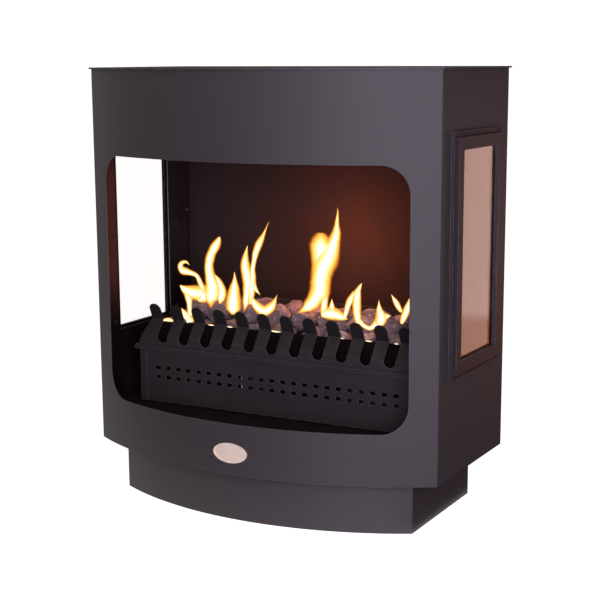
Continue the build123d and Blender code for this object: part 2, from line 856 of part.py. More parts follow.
def coal(x, y, z):
    """Rounded lump about a point."""
    lump = scale(Sphere(1), by=(coal_length / 2, coal_width / 2, coal_height / 2))
    return Pos(x, y, z) * lump


lower_coals = []
upper_coals = []
for row in range(coal_rows):
    for column in range(coal_columns):
        coal_x = (column - (coal_columns - 1) / 2) * coal_step_x
        coal_y = coal_front_y + row * coal_step_y
        lower_coals.append(
            coal(coal_x, coal_y, lower_z)
            & block(
                (coal_x - coal_length, coal_x + coal_length),
                (coal_y - coal_width, coal_y + coal_width),
                (grid_top, grid_top + coal_height),
            )
        )
        if row < coal_rows - 1 and column < coal_columns - 1:
            upper_coals.append(coal(coal_x + coal_step_x / 2, coal_y + coal_step_y / 2, upper_z))
keep("coals_lower", *lower_coals)
keep("coals_upper", *upper_coals)

# Burner tubes with ports on top, seated in the saddles and the manifold
tube_z = box_high - tube_centre_drop
tube_ys = [grate_front_y + tube_front_setback, grate_front_y + tube_front_setback + tube_spacing]
tube_half = box_inner_half - tube_end_gap
burner_ys = (tube_ys[0] - tube_radius - saddle_overlap, tube_ys[1] + tube_radius + saddle_overlap)
tube_seats = [
    rod((-tube_half, tube_y, tube_z), (tube_half, tube_y, tube_z), tube_radius + tube_seat_gap)
    for tube_y in tube_ys
]
manifold_right = tube_half - manifold_end_inset
manifold_left = manifold_right - manifold_width
manifold_top = tube_z - tube_radius + manifold_rise
manifold_low = manifold_top - manifold_height
manifold = block((manifold_left, manifold_right), burner_ys, (manifold_low, manifold_top))
manifold -= block(
    (manifold_left + manifold_wall, manifold_right - manifold_wall),
    (burner_ys[0] + manifold_wall, burner_ys[1] - manifold_wall),
    (manifold_low + manifold_wall, tube_z - tube_radius - manifold_wall),
)
manifold_x = (manifold_left + manifold_right) / 2
port_pitch = 2 * (tube_half - port_end_margin) / (port_count - 1)
burner_tubes = []
for tube_y, seat in zip(tube_ys, tube_seats):
    tube = rod((-tube_half, tube_y, tube_z), (tube_half, tube_y, tube_z), tube_radius)
    tube -= rod(
        (tube_wall - tube_half, tube_y, tube_z),
        (tube_half - tube_wall, tube_y, tube_z),
        tube_radius - tube_wall,
    )
    for number in range(port_count):
        port_x = (number - (port_count - 1) / 2) * port_pitch
        tube -= rod((port_x, tube_y, tube_z), (port_x, tube_y, tube_z + 2 * tube_radius), port_radius)
    passage = rod(
        (manifold_x, tube_y, manifold_low + 2 * manifold_wall),
        (manifold_x, tube_y, tube_z),
        passage_radius,
    )
    burner_tubes.append(tube - passage)
    manifold -= seat
    manifold -= passage
keep("burner_tubes", *burner_tubes)
saddles = []
for saddle_x in (saddle_end_inset - tube_half, manifold_left - saddle_manifold_gap):
    saddle = block((saddle_x, saddle_x + saddle_sheet), burner_ys, (box_floor_top, tube_z))
    for seat in tube_seats:
        saddle -= seat
    saddles.append(saddle)
keep("burner_saddles", *saddles)

# Mixing tube from the manifold to the injector, which the right end cap holds
feed_y = tap_outlet_y
feed_z = tap_z


def feed_rod(near_x, far_x, radius):
    """Round length on the feed axis."""
    return rod((near_x, feed_y, feed_z), (far_x, feed_y, feed_z), radius)


hex_right_x = box_inner_half
hex_left_x = hex_right_x - injector_hex_length
nose_x = hex_left_x - injector_nose_length
mouth_x = nose_x - injector_air_gap
cone_plane = Plane(origin=(mouth_x - mouth_length, feed_y, feed_z), z_dir=(1, 0, 0))
mouth = loft([
    cone_plane * Circle(mixing_radius),
    cone_plane.offset(mouth_length) * Circle(mouth_radius),
])
mouth_bore = loft([
    cone_plane * Circle(mixing_radius - tube_wall),
    cone_plane.offset(mouth_length) * Circle(mouth_radius - tube_wall),
])
mixing_tube = feed_rod(manifold_right, mouth_x - mouth_length, mixing_radius) + mouth
mixing_tube -= feed_rod(manifold_right, mouth_x - mouth_length, mixing_radius - tube_wall)
mixing_tube -= mouth_bore
keep("mixing_tube", mixing_tube)
manifold -= feed_rod(manifold_right - 2 * manifold_wall, manifold_right, mixing_radius - tube_wall)
keep("burner_manifold", manifold)
tap_left_x = control_offset - tap_width / 2
injector = feed_rod(nose_x, hex_left_x, injector_nose_radius)
injector += hexagon_bar((hex_left_x, feed_y, feed_z), (hex_right_x, feed_y, feed_z), injector_hex_radius)
injector += feed_rod(hex_right_x, tap_left_x, spigot_radius)
injector += hexagon_bar(
    (grate_half, feed_y, feed_z), (grate_half + spigot_nut_length, feed_y, feed_z), injector_hex_radius
)
injector -= feed_rod(nose_x, tap_left_x, injector_bore_radius)
keep("injector", injector)
box_end_right = box_end - feed_rod(box_inner_half, grate_half, spigot_radius + screw_clearance)

# Control bracket: a plate facing the front, flanged to the right side panel
bracket_ys = (corner_y + bracket_setback, tap_y)
bracket_left = inner_half - bracket_width
bracket_zs = (floor_top, floor_top + bracket_height)
control_bracket = block((bracket_left, inner_half), bracket_ys, bracket_zs)
control_bracket += block(
    (inner_half - bracket_sheet, inner_half), (bracket_ys[0], tap_y + bracket_flange), bracket_zs
)


def control_rod(near_y, far_y, z, radius):
    """Round length on an axis through the control bracket."""
    return rod((control_offset, near_y, z), (control_offset, far_y, z), radius)


neck_front_y = bracket_ys[0] - panel_nut_height - tap_neck_proud
control_bracket -= control_rod(*bracket_ys, tap_z, tap_neck_radius + neck_clearance)
igniter_z = floor_top + igniter_rise
control_bracket -= control_rod(*bracket_ys, igniter_z, igniter_radius + neck_clearance)
keep("control_bracket", control_bracket)

# Tap body with the plug's chamber, and the nuts that hold tap and igniter
tap_rear_y = tap_y + tap_length
plug_front_y = tap_y + plug_start
plug_rear_y = plug_front_y + plug_length
tap_body = block(
    (tap_left_x, tap_left_x + tap_width), (tap_y, tap_rear_y), (tap_bottom, tap_bottom + tap_height)
)
tap_body += control_rod(neck_front_y, tap_y, tap_z, tap_neck_radius)
tap_body -= control_rod(plug_front_y, plug_rear_y, tap_z, plug_radius + running_clearance)
tap_body -= control_rod(neck_front_y, plug_front_y, tap_z, spindle_radius + running_clearance)
keep("tap_body", tap_body)
tap_nut = hexagon_bar(
    (control_offset, bracket_ys[0] - panel_nut_height, tap_z),
    (control_offset, bracket_ys[0], tap_z),
    tap_nut_radius,
)
tap_nut -= control_rod(neck_front_y, tap_y, tap_z, tap_neck_radius + running_clearance)
igniter_nut = hexagon_bar(
    (control_offset, tap_y, igniter_z),
    (control_offset, tap_y + igniter_nut_height, igniter_z),
    igniter_nut_radius,
)
igniter_nut -= control_rod(tap_y, tap_y + igniter_nut_height, igniter_z, igniter_radius + running_clearance)
keep("control_nuts", tap_nut, igniter_nut)

# Plug, which turns, and the spindle that slides in it
spindle_rear_y = plug_front_y + spindle_reach
tap_plug = control_rod(plug_front_y, plug_rear_y, tap_z, plug_radius)
tap_plug -= control_rod(
    plug_front_y, spindle_rear_y + 2 * knob_travel, tap_z, spindle_radius + running_clearance
)
keep("tap_plug", tap_plug)
knob_rear_y = neck_front_y - knob_gap
knob_front_y = knob_rear_y - knob_height
bore_front_y = knob_rear_y - knob_bore_depth
keep("tap_spindle", control_rod(bore_front_y, spindle_rear_y, tap_z, spindle_radius))

# Knob: skirt, fluted grip with a pointer, and a pocket for the return spring
skirt_front_y = knob_rear_y - knob_skirt
knob_grip = control_rod(knob_front_y, skirt_front_y, tap_z, knob_grip_radius)
knob_grip = fillet(knob_grip.edges().group_by(Axis.Y)[0], knob_edge)
for number in range(knob_flute_count):
    turn = (number + 1 / 2) * 360 / knob_flute_count
    flute_plane = Plane(origin=(control_offset, knob_front_y, tap_z), z_dir=(0, 1, 0)).rotated((0, 0, turn))
    flute = flute_plane * Pos(knob_grip_radius + knob_flute_radius / 2, 0) * Circle(knob_flute_radius)
    knob_grip -= extrude(flute, amount=skirt_front_y - knob_front_y)
knob_disc = control_rod(skirt_front_y, knob_rear_y, tap_z, knob_radius)
knob_disc = fillet(knob_disc.edges().group_by(Axis.Y)[0], knob_edge)
control_knob = knob_grip + knob_disc
control_knob += block(
    (control_offset - pointer_width / 2, control_offset + pointer_width / 2),
    (knob_front_y - pointer_height, knob_front_y),
    (tap_z, tap_z + knob_grip_radius - 2 * knob_edge),
)
control_knob -= control_rod(knob_rear_y - knob_pocket_depth, knob_rear_y, tap_z, knob_pocket_radius)
control_knob -= control_rod(bore_front_y, knob_rear_y, tap_z, spindle_radius + running_clearance)
keep("control_knob", control_knob)

# Return spring between the tap's neck and the knob's pocket
spring_front_y = knob_rear_y - knob_pocket_depth + spring_seat_gap + spring_wire_radius
spring_rear_y = neck_front_y - spring_seat_gap - spring_wire_radius
spring_length = spring_rear_y - spring_front_y
spring_path = Helix(pitch=spring_length / spring_turns, height=spring_length, radius=spring_radius)
spring_wire = sweep(
    Plane(origin=spring_path @ 0, z_dir=spring_path % 0) * Circle(spring_wire_radius), spring_path
)
spring_plane = Plane(origin=(control_offset, spring_front_y, tap_z), z_dir=(0, 1, 0))
keep("knob_spring", spring_plane * spring_wire)

# Piezo igniter: body with a collar in front, and the button that slides in it
collar_front_y = bracket_ys[0] - collar_height
button_front_y = collar_front_y - button_rise
button_rear_y = button_front_y + button_length
button_bore_y = button_rear_y + button_travel + button_bore_spare
igniter_rear_y = tap_y + igniter_length
igniter_body = control_rod(collar_front_y, igniter_rear_y, igniter_z, igniter_radius)
igniter_body += control_rod(collar_front_y, bracket_ys[0], igniter_z, collar_radius)
igniter_body -= control_rod(
    collar_front_y, button_bore_y, igniter_z, button_radius + running_clearance
)
keep("igniter_body", igniter_body)
igniter_button = control_rod(button_front_y, button_rear_y, igniter_z, button_radius)
keep("igniter_button", fillet(igniter_button.edges().group_by(Axis.Y)[0], button_edge))

# Pilot bracket: a leg from the box floor and a shelf that holds the three pieces
probe_y = grate_front_y + thermocouple_setback
pilot_y = grate_front_y + pilot_setback
leg_y = grate_front_y + pilot_leg_setback
shelf_zs = (box_high - pilot_shelf_drop, box_high - pilot_shelf_drop + pilot_shelf_sheet)
pilot_bracket = block(shelf_xs, (electrode_y - pilot_shelf_margin / 2, leg_y), shelf_zs)
pilot_bracket += block(shelf_xs, (leg_y - pilot_shelf_sheet, leg_y), (box_floor_top, shelf_zs[1]))
pilot_foot_z = box_high - pilot_foot_drop
pilot_top_z = box_high - pilot_top_drop
for hole_x, hole_y, hole_radius in (
    (pilot_offset, pilot_y, pilot_radius),
    (probe_x, probe_y, probe_radius),
    (electrode_x, electrode_y, ceramic_radius),
):
    pilot_bracket -= rod(
        (hole_x, hole_y, shelf_zs[0]), (hole_x, hole_y, shelf_zs[1]), hole_radius + pilot_hole_clearance
    )
keep("pilot_bracket", pilot_bracket)

# Pilot burner with its supply pipe from the tap
pilot = rod((pilot_offset, pilot_y, pilot_foot_z), (pilot_offset, pilot_y, pilot_top_z), pilot_radius)
pilot += rod(
    (pilot_offset, pilot_y, pilot_top_z - pilot_hood_height),
    (pilot_offset, pilot_y, pilot_top_z),
    pilot_hood_radius,
)
pilot_pipe_z = tap_z - pilot_pipe_drop
pilot_route = [
    (tap_left_x, pilot_y, pilot_pipe_z),
    (pilot_offset, pilot_y, pilot_pipe_z),
    (pilot_offset, pilot_y, pilot_foot_z),
]
keep("pilot_burner", pilot + line_run(pilot_route, line_bend, pilot_pipe_radius))

# Thermocouple probe with its lead back to the tap
probe_top_z = pilot_top_z
probe_low_z = probe_top_z - probe_length
lead_z = tap_z - lead_drop
thermocouple = line_run(
    [(tap_left_x, probe_y, lead_z), (probe_x, probe_y, lead_z), (probe_x, probe_y, probe_low_z)],
    line_bend,
    lead_radius,
)
thermocouple += rod((probe_x, probe_y, probe_low_z), (probe_x, probe_y, probe_top_z), probe_radius)
keep("thermocouple", thermocouple)

# Spark electrode: ceramic sleeve and wire tip, fed by a lead from the igniter
ceramic_top_z = shelf_zs[1] + ceramic_length / 2
ceramic_low_z = ceramic_top_z - ceramic_length
electrode = rod(
    (electrode_x, electrode_y, ceramic_low_z),
    (electrode_x, electrode_y, ceramic_top_z),
    ceramic_radius,
)
electrode += rod(
    (electrode_x, electrode_y, ceramic_top_z),
    (electrode_x, electrode_y, ceramic_top_z + wire_tip_length),
    wire_tip_radius,
)
keep("spark_electrode", electrode)
spark_rear_y = corner_y + spark_lead_rear
spark_z = box_low + spark_lead_rise
spark_x = grate_half - spark_lead_inset
spark_route = [
    (control_offset, igniter_rear_y, igniter_z),
    (control_offset, spark_rear_y, igniter_z),
    (control_offset, spark_rear_y, spark_z),
    (spark_x, spark_rear_y, spark_z),
    (spark_x, electrode_y, spark_z),
    (electrode_x, electrode_y, spark_z),
    (electrode_x, electrode_y, ceramic_low_z),
]
keep("ignition_lead", line_run(spark_route, line_bend, spark_lead_radius))

# Holes for the three lines in the right end cap
for line_y, line_z, line_radius in (
    (pilot_y, pilot_pipe_z, pilot_pipe_radius),
    (probe_y, lead_z, lead_radius),
    (spark_rear_y, spark_z, spark_lead_radius),
):
    box_end_right -= rod(
        (box_inner_half, line_y, line_z), (grate_half, line_y, line_z), line_radius + line_hole_clearance
    )
keep("burner_box_end_right", box_end_right)

os.makedirs("parts", exist_ok=True)
for name, shape in parts.items():
    export_step(shape, f"parts/{name}.step")
print(len(parts), "sub-parts")
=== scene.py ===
import json

from math import cos, pi, radians, sin

import bmesh
import bpy
from mathutils import Matrix, Vector, noise


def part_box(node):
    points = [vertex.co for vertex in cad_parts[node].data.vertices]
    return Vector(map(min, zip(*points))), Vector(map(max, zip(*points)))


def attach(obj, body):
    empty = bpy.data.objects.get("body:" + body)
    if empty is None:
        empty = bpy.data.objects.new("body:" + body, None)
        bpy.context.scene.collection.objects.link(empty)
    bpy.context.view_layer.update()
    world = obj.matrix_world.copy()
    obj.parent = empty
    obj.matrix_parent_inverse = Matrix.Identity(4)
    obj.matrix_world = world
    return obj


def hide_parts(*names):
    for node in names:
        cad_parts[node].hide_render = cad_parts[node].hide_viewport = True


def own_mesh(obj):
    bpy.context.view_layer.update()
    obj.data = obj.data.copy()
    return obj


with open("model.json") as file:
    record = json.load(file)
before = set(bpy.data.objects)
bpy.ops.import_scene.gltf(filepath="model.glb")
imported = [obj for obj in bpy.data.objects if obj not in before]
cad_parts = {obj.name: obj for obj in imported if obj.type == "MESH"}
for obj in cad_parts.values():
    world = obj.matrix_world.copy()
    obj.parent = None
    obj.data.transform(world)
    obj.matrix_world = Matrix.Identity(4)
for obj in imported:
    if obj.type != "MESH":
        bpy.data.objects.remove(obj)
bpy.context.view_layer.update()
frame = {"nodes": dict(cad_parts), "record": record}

# Camera
# It stands to the front right of the fire, a little above the top plate, with a long lens. The
# small shift puts the object where the photographed one stands in its frame.
camera_place = Vector((1.2268, -2.1829, 0.8146))
camera_turn = radians(28.305)
camera_dip = radians(11.176)
camera_roll = radians(-0.251)
lens = bpy.data.cameras.new("camera")
lens.sensor_width = 36
lens.lens = 82.58
lens.shift_x = -0.0171
lens.shift_y = 0.0487
camera = bpy.data.objects.new("camera", lens)
bpy.context.scene.collection.objects.link(camera)
camera.matrix_world = (
    Matrix.Translation(camera_place)
    @ Matrix.Rotation(camera_turn, 4, "Z")
    @ Matrix.Rotation(pi / 2 - camera_dip, 4, "X")
    @ Matrix.Rotation(camera_roll, 4, "Z")
)
bpy.context.scene.camera = camera
bpy.context.scene.view_settings.view_transform = "Standard"

# Floor, room and studio light
# A pale floor runs out of sight under a white room. One large cool softbox stands in front, the
# room itself fills in warm and dim, and the flames light the firebox from inside. Five cards
# that only gloss shows stand for the room's brown wall, its shaded side and its rugs.
floor_half = 30.0
floor_colour = (0.86, 0.86, 0.86, 1)
floor_glow = 0.86
room_fill = (0.26, 0.20, 0.19, 1)
room_seen = (1.06, 1.05, 1.05, 1)
middle_of_fire = Vector((0, 0, 0.42))


def place(tree, kind, settings=None, **inputs):
    """New node with its settings, and its inputs set or wired by name."""
    node = tree.nodes.new(f"ShaderNode{kind}")
    for name, value in (settings or {}).items():
        setattr(node, name, value)
    for label, value in inputs.items():
        socket = node.inputs[label.replace("_", " ")]
        if isinstance(value, bpy.types.NodeSocket):
            tree.links.new(value, socket)
        else:
            socket.default_value = value
    return node


def reckon(tree, operation, *terms):
    """Result of a sum on numbers and sockets, held between 0 and 1."""
    node = tree.nodes.new("ShaderNodeMath")
    node.operation = operation
    node.use_clamp = True
    for socket, term in zip(node.inputs, terms):
        if isinstance(term, bpy.types.NodeSocket):
            tree.links.new(term, socket)
        else:
            socket.default_value = term
    return node.outputs["Value"]


def blended(tree, share, under, over, mode="MIX"):
    """Colour that lies between two colours, or one laid on the other."""
    node = tree.nodes.new("ShaderNodeMix")
    node.data_type = "RGBA"
    node.blend_type = mode
    for socket, value in zip((node.inputs[0], node.inputs[6], node.inputs[7]), (share, under, over)):
        if isinstance(value, bpy.types.NodeSocket):
            tree.links.new(value, socket)
        else:
            socket.default_value = value
    return node.outputs[2]


def between(tree, value, low, high, new_low=0.0, new_high=1.0):
    """A value's place between two limits, smoothed and fitted to two new limits."""
    node = place(
        tree,
        "MapRange",
        {"interpolation_type": "SMOOTHSTEP"},
        Value=value,
        From_Min=low,
        From_Max=high,
        To_Min=new_low,
        To_Max=new_high,
    )
    return node.outputs["Result"]


def object_place(tree):
    """X, Y and Z of the point that is shaded, in metres."""
    return place(tree, "SeparateXYZ", Vector=place(tree, "TexCoord").outputs["Object"]).outputs


def seen_directly(tree):
    """1 for rays that look at the room, straight or by way of gloss or glass."""
    path = place(tree, "LightPath").outputs
    either = reckon(tree, "ADD", path["Is Camera Ray"], path["Is Glossy Ray"])
    return reckon(tree, "ADD", either, path["Is Transmission Ray"])


def new_material(name):
    """Material with its node tree and its shader."""
    material = bpy.data.materials.new(name)
    material.use_nodes = True
    return material, material.node_tree, material.node_tree.nodes["Principled BSDF"]


def piece_from(name, mesh, material):
    """Finished object at the origin from a bmesh, with its normals outwards."""
    bmesh.ops.recalc_face_normals(mesh, faces=mesh.faces)
    data = bpy.data.meshes.new(name)
    mesh.to_mesh(data)
    mesh.free()
    data.materials.append(material)
    data.shade_smooth()
    made = bpy.data.objects.new(name, data)
    bpy.context.scene.collection.objects.link(made)
    return made


def square_on(name, centre, towards, width, height, material):
    """Flat sheet about a point, facing another point."""
    turn = (Vector(towards) - Vector(centre)).to_track_quat("Z", "Y").to_matrix().to_4x4()
    mesh = bmesh.new()
    stretched = Matrix.Diagonal((width / 2, height / 2, 1, 1))
    bmesh.ops.create_grid(mesh, x_segments=1, y_segments=1, size=1, matrix=stretched)
    bmesh.ops.transform(mesh, matrix=Matrix.Translation(centre) @ turn, verts=mesh.verts)
    return piece_from(name, mesh, material)


def lamp(name, kind, where, watts, colour, size):
    """Lamp at a place, with its power, colour and width."""
    data = bpy.data.lights.new(name, kind)
    data.energy = watts
    data.color = colour
    if kind == "AREA":
        data.shape = "DISK"
        data.size = size
    else:
        data.shadow_soft_size = size
    made = bpy.data.objects.new(name, data)
    bpy.context.scene.collection.objects.link(made)
    made.location = where
    made.rotation_euler = (middle_of_fire - Vector(where)).to_track_quat("-Z", "Y").to_euler()
    made.visible_camera = False
    made.visible_transmission = False
    return made


room = bpy.data.worlds.new("room")
room.use_nodes = True
backdrop = room.node_tree.nodes["Background"]
shown = seen_directly(room.node_tree)
room_colour = blended(room.node_tree, shown, room_fill, room_seen)
room.node_tree.links.new(room_colour, backdrop.inputs["Color"])
bpy.context.scene.world = room

floor_paint, floor_tree, floor_shader = new_material("floor_paint")
floor_shader.inputs["Base Color"].default_value = floor_colour
floor_shader.inputs["Roughness"].default_value = 0.9
floor_shader.inputs["Specular IOR Level"].default_value = 0.1
floor_shader.inputs["Emission Strength"].default_value = floor_glow
floor_tree.links.new(seen_directly(floor_tree), floor_shader.inputs["Emission Color"])
floor_mesh = bmesh.new()
bmesh.ops.create_grid(floor_mesh, x_segments=2, y_segments=2, size=floor_half)
floor = piece_from("floor", floor_mesh, floor_paint)


def glow_card(name, colour):
    """Even glow for a card that only reflections show, with its tree and its shader."""
    material, tree, shader = new_material(name)
    shader.inputs["Base Color"].default_value = (0, 0, 0, 1)
    shader.inputs["Specular IOR Level"].default_value = 0
    shader.inputs["Emission Color"].default_value = colour
    shader.inputs["Emission Strength"].default_value = 1
    return material, tree, shader


wall_low_tan = (2.1, 0.62, 0.25, 1)
wall_high_tan = (3.0, 1.53, 1.18, 1)
wall_brown = (0.045, 0.022, 0.018, 1)
room_shade = (0.16, 0.12, 0.13, 1)
rug_brown = (0.03, 0.015, 0.013, 1)
side_rug_place = Vector((1.455, 0.75, 0.004))
front_rug_place = Vector((-1.15, -1.45, 0.004))
upwards = Vector((0, 0, 1))

tan_glow, tan_tree, tan_shader = glow_card("tan_glow", wall_high_tan)
upper_part = between(tan_tree, object_place(tan_tree)["Z"], 0.165, 0.197)
tan_tone = blended(tan_tree, upper_part, wall_low_tan, wall_high_tan)
tan_tree.links.new(tan_tone, tan_shader.inputs["Emission Color"])
brown_glow = glow_card("brown_glow", wall_brown)[0]
shade_glow = glow_card("shade_glow", room_shade)[0]
rug_glow = glow_card("rug_glow", rug_brown)[0]
cards = (
    square_on("pane_card", (0.719, 0.980, 0.343), (0.359, 0.057, 0.480), 0.17, 0.66, tan_glow),
    square_on("room_wall", (1.25, 1.30, 0.75), (0, 0, 0.75), 3.4, 2.6, brown_glow),
    square_on("dark_flag", (-1.35, -1.30, 0.42), middle_of_fire, 2.6, 1.9, shade_glow),
    square_on("side_rug", side_rug_place, side_rug_place + upwards, 2.3, 2.9, rug_glow),
    square_on("front_rug", front_rug_place, front_rug_place + upwards, 3.0, 2.3, shade_glow),
)
for card in cards:
    card.visible_camera = False
    card.visible_diffuse = False
    card.visible_transmission = False
    card.visible_shadow = False

lamp("softbox", "AREA", (1.71, -2.5, 0.95), 104, (0.78, 0.76, 1.0), 1.7)
flame_colour = (1.0, 0.60, 0.40)
ember_colour = (1.0, 0.32, 0.12)
lamp("glow_behind_big_flame", "POINT", (0.05, 0.085, 0.48), 2.1, ember_colour, 0.05)
lamp("glow_of_big_flame", "POINT", (0.07, -0.012, 0.42), 0.45, flame_colour, 0.03)
lamp("glow_of_tall_flame", "POINT", (-0.15, -0.012, 0.41), 0.40, flame_colour, 0.03)
lamp("glow_of_right_flames", "POINT", (0.17, -0.012, 0.39), 0.30, flame_colour, 0.03)

# Casing
# Top plate, rolled front, side panels and plinth of folded sheet steel, sprayed with a fine
# textured matt stove paint that is rubbed at the edges; the lighter edge colour also paints an
# edge highlight. Inside it is laid near-black for soot and as painted shade, and beside the
# flames an orange brown paints the glow of the flames on it.
casing_colour = (0.023, 0.016, 0.017, 1)
# Lighter edge colour: paint rubbed thin, and also a painted edge highlight.
rubbed_and_lit_colour = (0.12, 0.11, 0.12, 1)


def new_effect(name, takes, gives):
    """Empty node group with its named inputs and outputs, and its two end nodes."""
    group = bpy.data.node_groups.new(name, "ShaderNodeTree")
    for label, value in (("Color", (1, 1, 1, 1)), ("Roughness", 0.5), *takes):
        kind = {float: "NodeSocketFloat", tuple: "NodeSocketColor"}[type(value)]
        group.interface.new_socket(label, in_out="INPUT", socket_type=kind).default_value = value
    for label, kind in (("Color", "NodeSocketColor"), ("Roughness", "NodeSocketFloat"), *gives):
        group.interface.new_socket(label, in_out="OUTPUT", socket_type=kind)
    inputs = group.nodes.new("NodeGroupInput").outputs
    return group, inputs, group.nodes.new("NodeGroupOutput").inputs


def grain(tree, scale, detail=2.0, vector=None):
    """Noise over the surface at so many lumps to the metre."""
    if vector is None:
        vector = place(tree, "TexCoord").outputs["Object"]
    return place(tree, "TexNoise", Vector=vector, Scale=scale, Detail=detail).outputs["Fac"]


def product(tree, first, *others):
    """All the terms multiplied, held between 0 and 1."""
    for other in others:
        first = reckon(tree, "MULTIPLY", first, other)
    return first


def toned(tree, colour, tone):
    """Colour darkened by a tone between 0 and 1."""
    grey = place(tree, "CombineColor", Red=tone, Green=tone, Blue=tone).outputs["Color"]
    return blended(tree, 1.0, colour, grey, "MULTIPLY")


speckle, taken, given = new_effect(
    "speckle",
    [("Fine Scale", 700.0), ("Broad Scale", 5.0), ("Tone Change", 0.3), ("Roughness Change", 0.15)],
    [("Height", "NodeSocketFloat")],
)
fine_grain = grain(speckle, taken["Fine Scale"], 3.0)
broad_grain = grain(speckle, taken["Broad Scale"], 4.0)
tone = reckon(speckle, "ADD", product(speckle, fine_grain, 0.5), product(speckle, broad_grain, 0.5))
darkest = reckon(speckle, "SUBTRACT", 1.0, taken["Tone Change"])
shade = place(speckle, "MapRange", Value=tone, From_Min=0.3, From_Max=0.7, To_Min=darkest, To_Max=1.0)
speckle.links.new(toned(speckle, taken["Color"], shade.outputs["Result"]), given["Color"])
rougher = product(speckle, reckon(speckle, "SUBTRACT", 1.0, tone), taken["Roughness Change"])
speckle.links.new(reckon(speckle, "ADD", taken["Roughness"], rougher), given["Roughness"])
speckle.links.new(fine_grain, given["Height"])

# Edges found by the rounded normal take a lighter colour: paint rubbed thin, and on the casing and the
# grate also a painted edge highlight.
rubbed_and_lit_edges, taken, given = new_effect(
    "rubbed_and_lit_edges",
    [
        ("Rubbed Color", (1.0, 1.0, 1.0, 1.0)),
        ("Rubbed Roughness", 0.4),
        ("Reach", 0.0015),
        ("Amount", 0.6),
    ],
    [],
)
rounded = place(rubbed_and_lit_edges, "Bevel", {"samples": 4}, Radius=taken["Reach"])
true_normal = place(rubbed_and_lit_edges, "NewGeometry").outputs["Normal"]
level = place(rubbed_and_lit_edges, "VectorMath", {"operation": "DOT_PRODUCT"})
rubbed_and_lit_edges.links.new(rounded.outputs["Normal"], level.inputs[0])
rubbed_and_lit_edges.links.new(true_normal, level.inputs[1])
edge = between(rubbed_and_lit_edges, level.outputs["Value"], 0.995, 0.90)
patchy = between(rubbed_and_lit_edges, grain(rubbed_and_lit_edges, 60.0, 5.0), 0.35, 0.62, 0.25, 1.0)
rubbed_and_lit = product(rubbed_and_lit_edges, edge, patchy, taken["Amount"])
worn_and_lit_colour = blended(rubbed_and_lit_edges, rubbed_and_lit, taken["Color"], taken["Rubbed Color"])
rubbed_and_lit_edges.links.new(worn_and_lit_colour, given["Color"])
worn = place(
    rubbed_and_lit_edges,
    "Mix",
    {"data_type": "FLOAT"},
    Factor=rubbed_and_lit,
    A=taken["Roughness"],
    B=taken["Rubbed Roughness"],
)
rubbed_and_lit_edges.links.new(worn.outputs["Result"], given["Roughness"])

settled_dust, taken, given = new_effect(
    "settled_dust", [("Dust Color", (0.3, 0.28, 0.27, 1.0)), ("Amount", 0.2)], []
)
up = place(settled_dust, "SeparateXYZ", Vector=place(settled_dust, "NewGeometry").outputs["Normal"])
lying = between(settled_dust, up.outputs["Z"], 0.5, 0.95)
drift = between(settled_dust, grain(settled_dust, 22.0, 6.0), 0.4, 0.75)
dusty = product(settled_dust, lying, drift, taken["Amount"])
settled_dust.links.new(blended(settled_dust, dusty, taken["Color"], taken["Dust Color"]), given["Color"])
settled_dust.links.new(reckon(settled_dust, "ADD", taken["Roughness"], dusty), given["Roughness"])


def new_finish(name, colour, roughness, edge=0.0006, **even):
    """Material with its shader's even values, and softly rounded edges."""
    material, tree, shader = new_material(name)
    shader.inputs["Base Color"].default_value = colour
    shader.inputs["Roughness"].default_value = roughness
    for label, value in even.items():
        shader.inputs[label.replace("_", " ")].default_value = value
    if edge:
        softened = place(tree, "Bevel", {"samples": 4}, Radius=edge)
        tree.links.new(softened.outputs["Normal"], shader.inputs["Normal"])
    return material


def raise_surface(material, height, depth):
    """Adds relief of a depth in metres over what the shader's normal shows so far."""
    tree = material.node_tree
    target = tree.nodes["Principled BSDF"].inputs["Normal"]
    relief = place(tree, "Bump", Distance=depth, Strength=1.0, Height=height)
    if target.links:
        tree.links.new(target.links[0].from_socket, relief.inputs["Normal"])
    tree.links.new(relief.outputs["Normal"], target)


def lay_over(material, effect, depth=0.0, **values):
    """Adds an effect over what the shader's colour and roughness show so far."""
    tree = material.node_tree
    shader = tree.nodes["Principled BSDF"]
    layer = tree.nodes.new("ShaderNodeGroup")
    layer.node_tree = effect
    for label, target_label in (("Color", "Base Color"), ("Roughness", "Roughness")):
        target = shader.inputs[target_label]
        if target.links:
            tree.links.new(target.links[0].from_socket, layer.inputs[label])
        else:
            layer.inputs[label].default_value = target.default_value
        tree.links.new(layer.outputs[label], target)
    for label, value in values.items():
        layer.inputs[label.replace("_", " ")].default_value = value
    if depth:
        raise_surface(material, layer.outputs["Height"], depth)
    return layer


def dress_node(node, material):
    """Gives the material to one sub-part."""
    skin = frame["nodes"][node].data.materials
    skin.clear()
    skin.append(material)


def dress(slot_name, material):
    """Gives the material to every sub-part that the record puts in that slot."""
    for row in frame["record"]["subparts"]:
        if row["material_slot"] == slot_name:
            dress_node(row["node"], material)


bow_axis = (0, 0.454, 0)
inside_bow_radius = 0.6556
inside_half_width = 0.3491
inside_back_y = 0.2015
base_panel_top = 0.097
flame_glow_front_y = -0.050
flame_glow_low_z = 0.30
flame_glow_high_z = 0.74
soot_roughness = 0.45

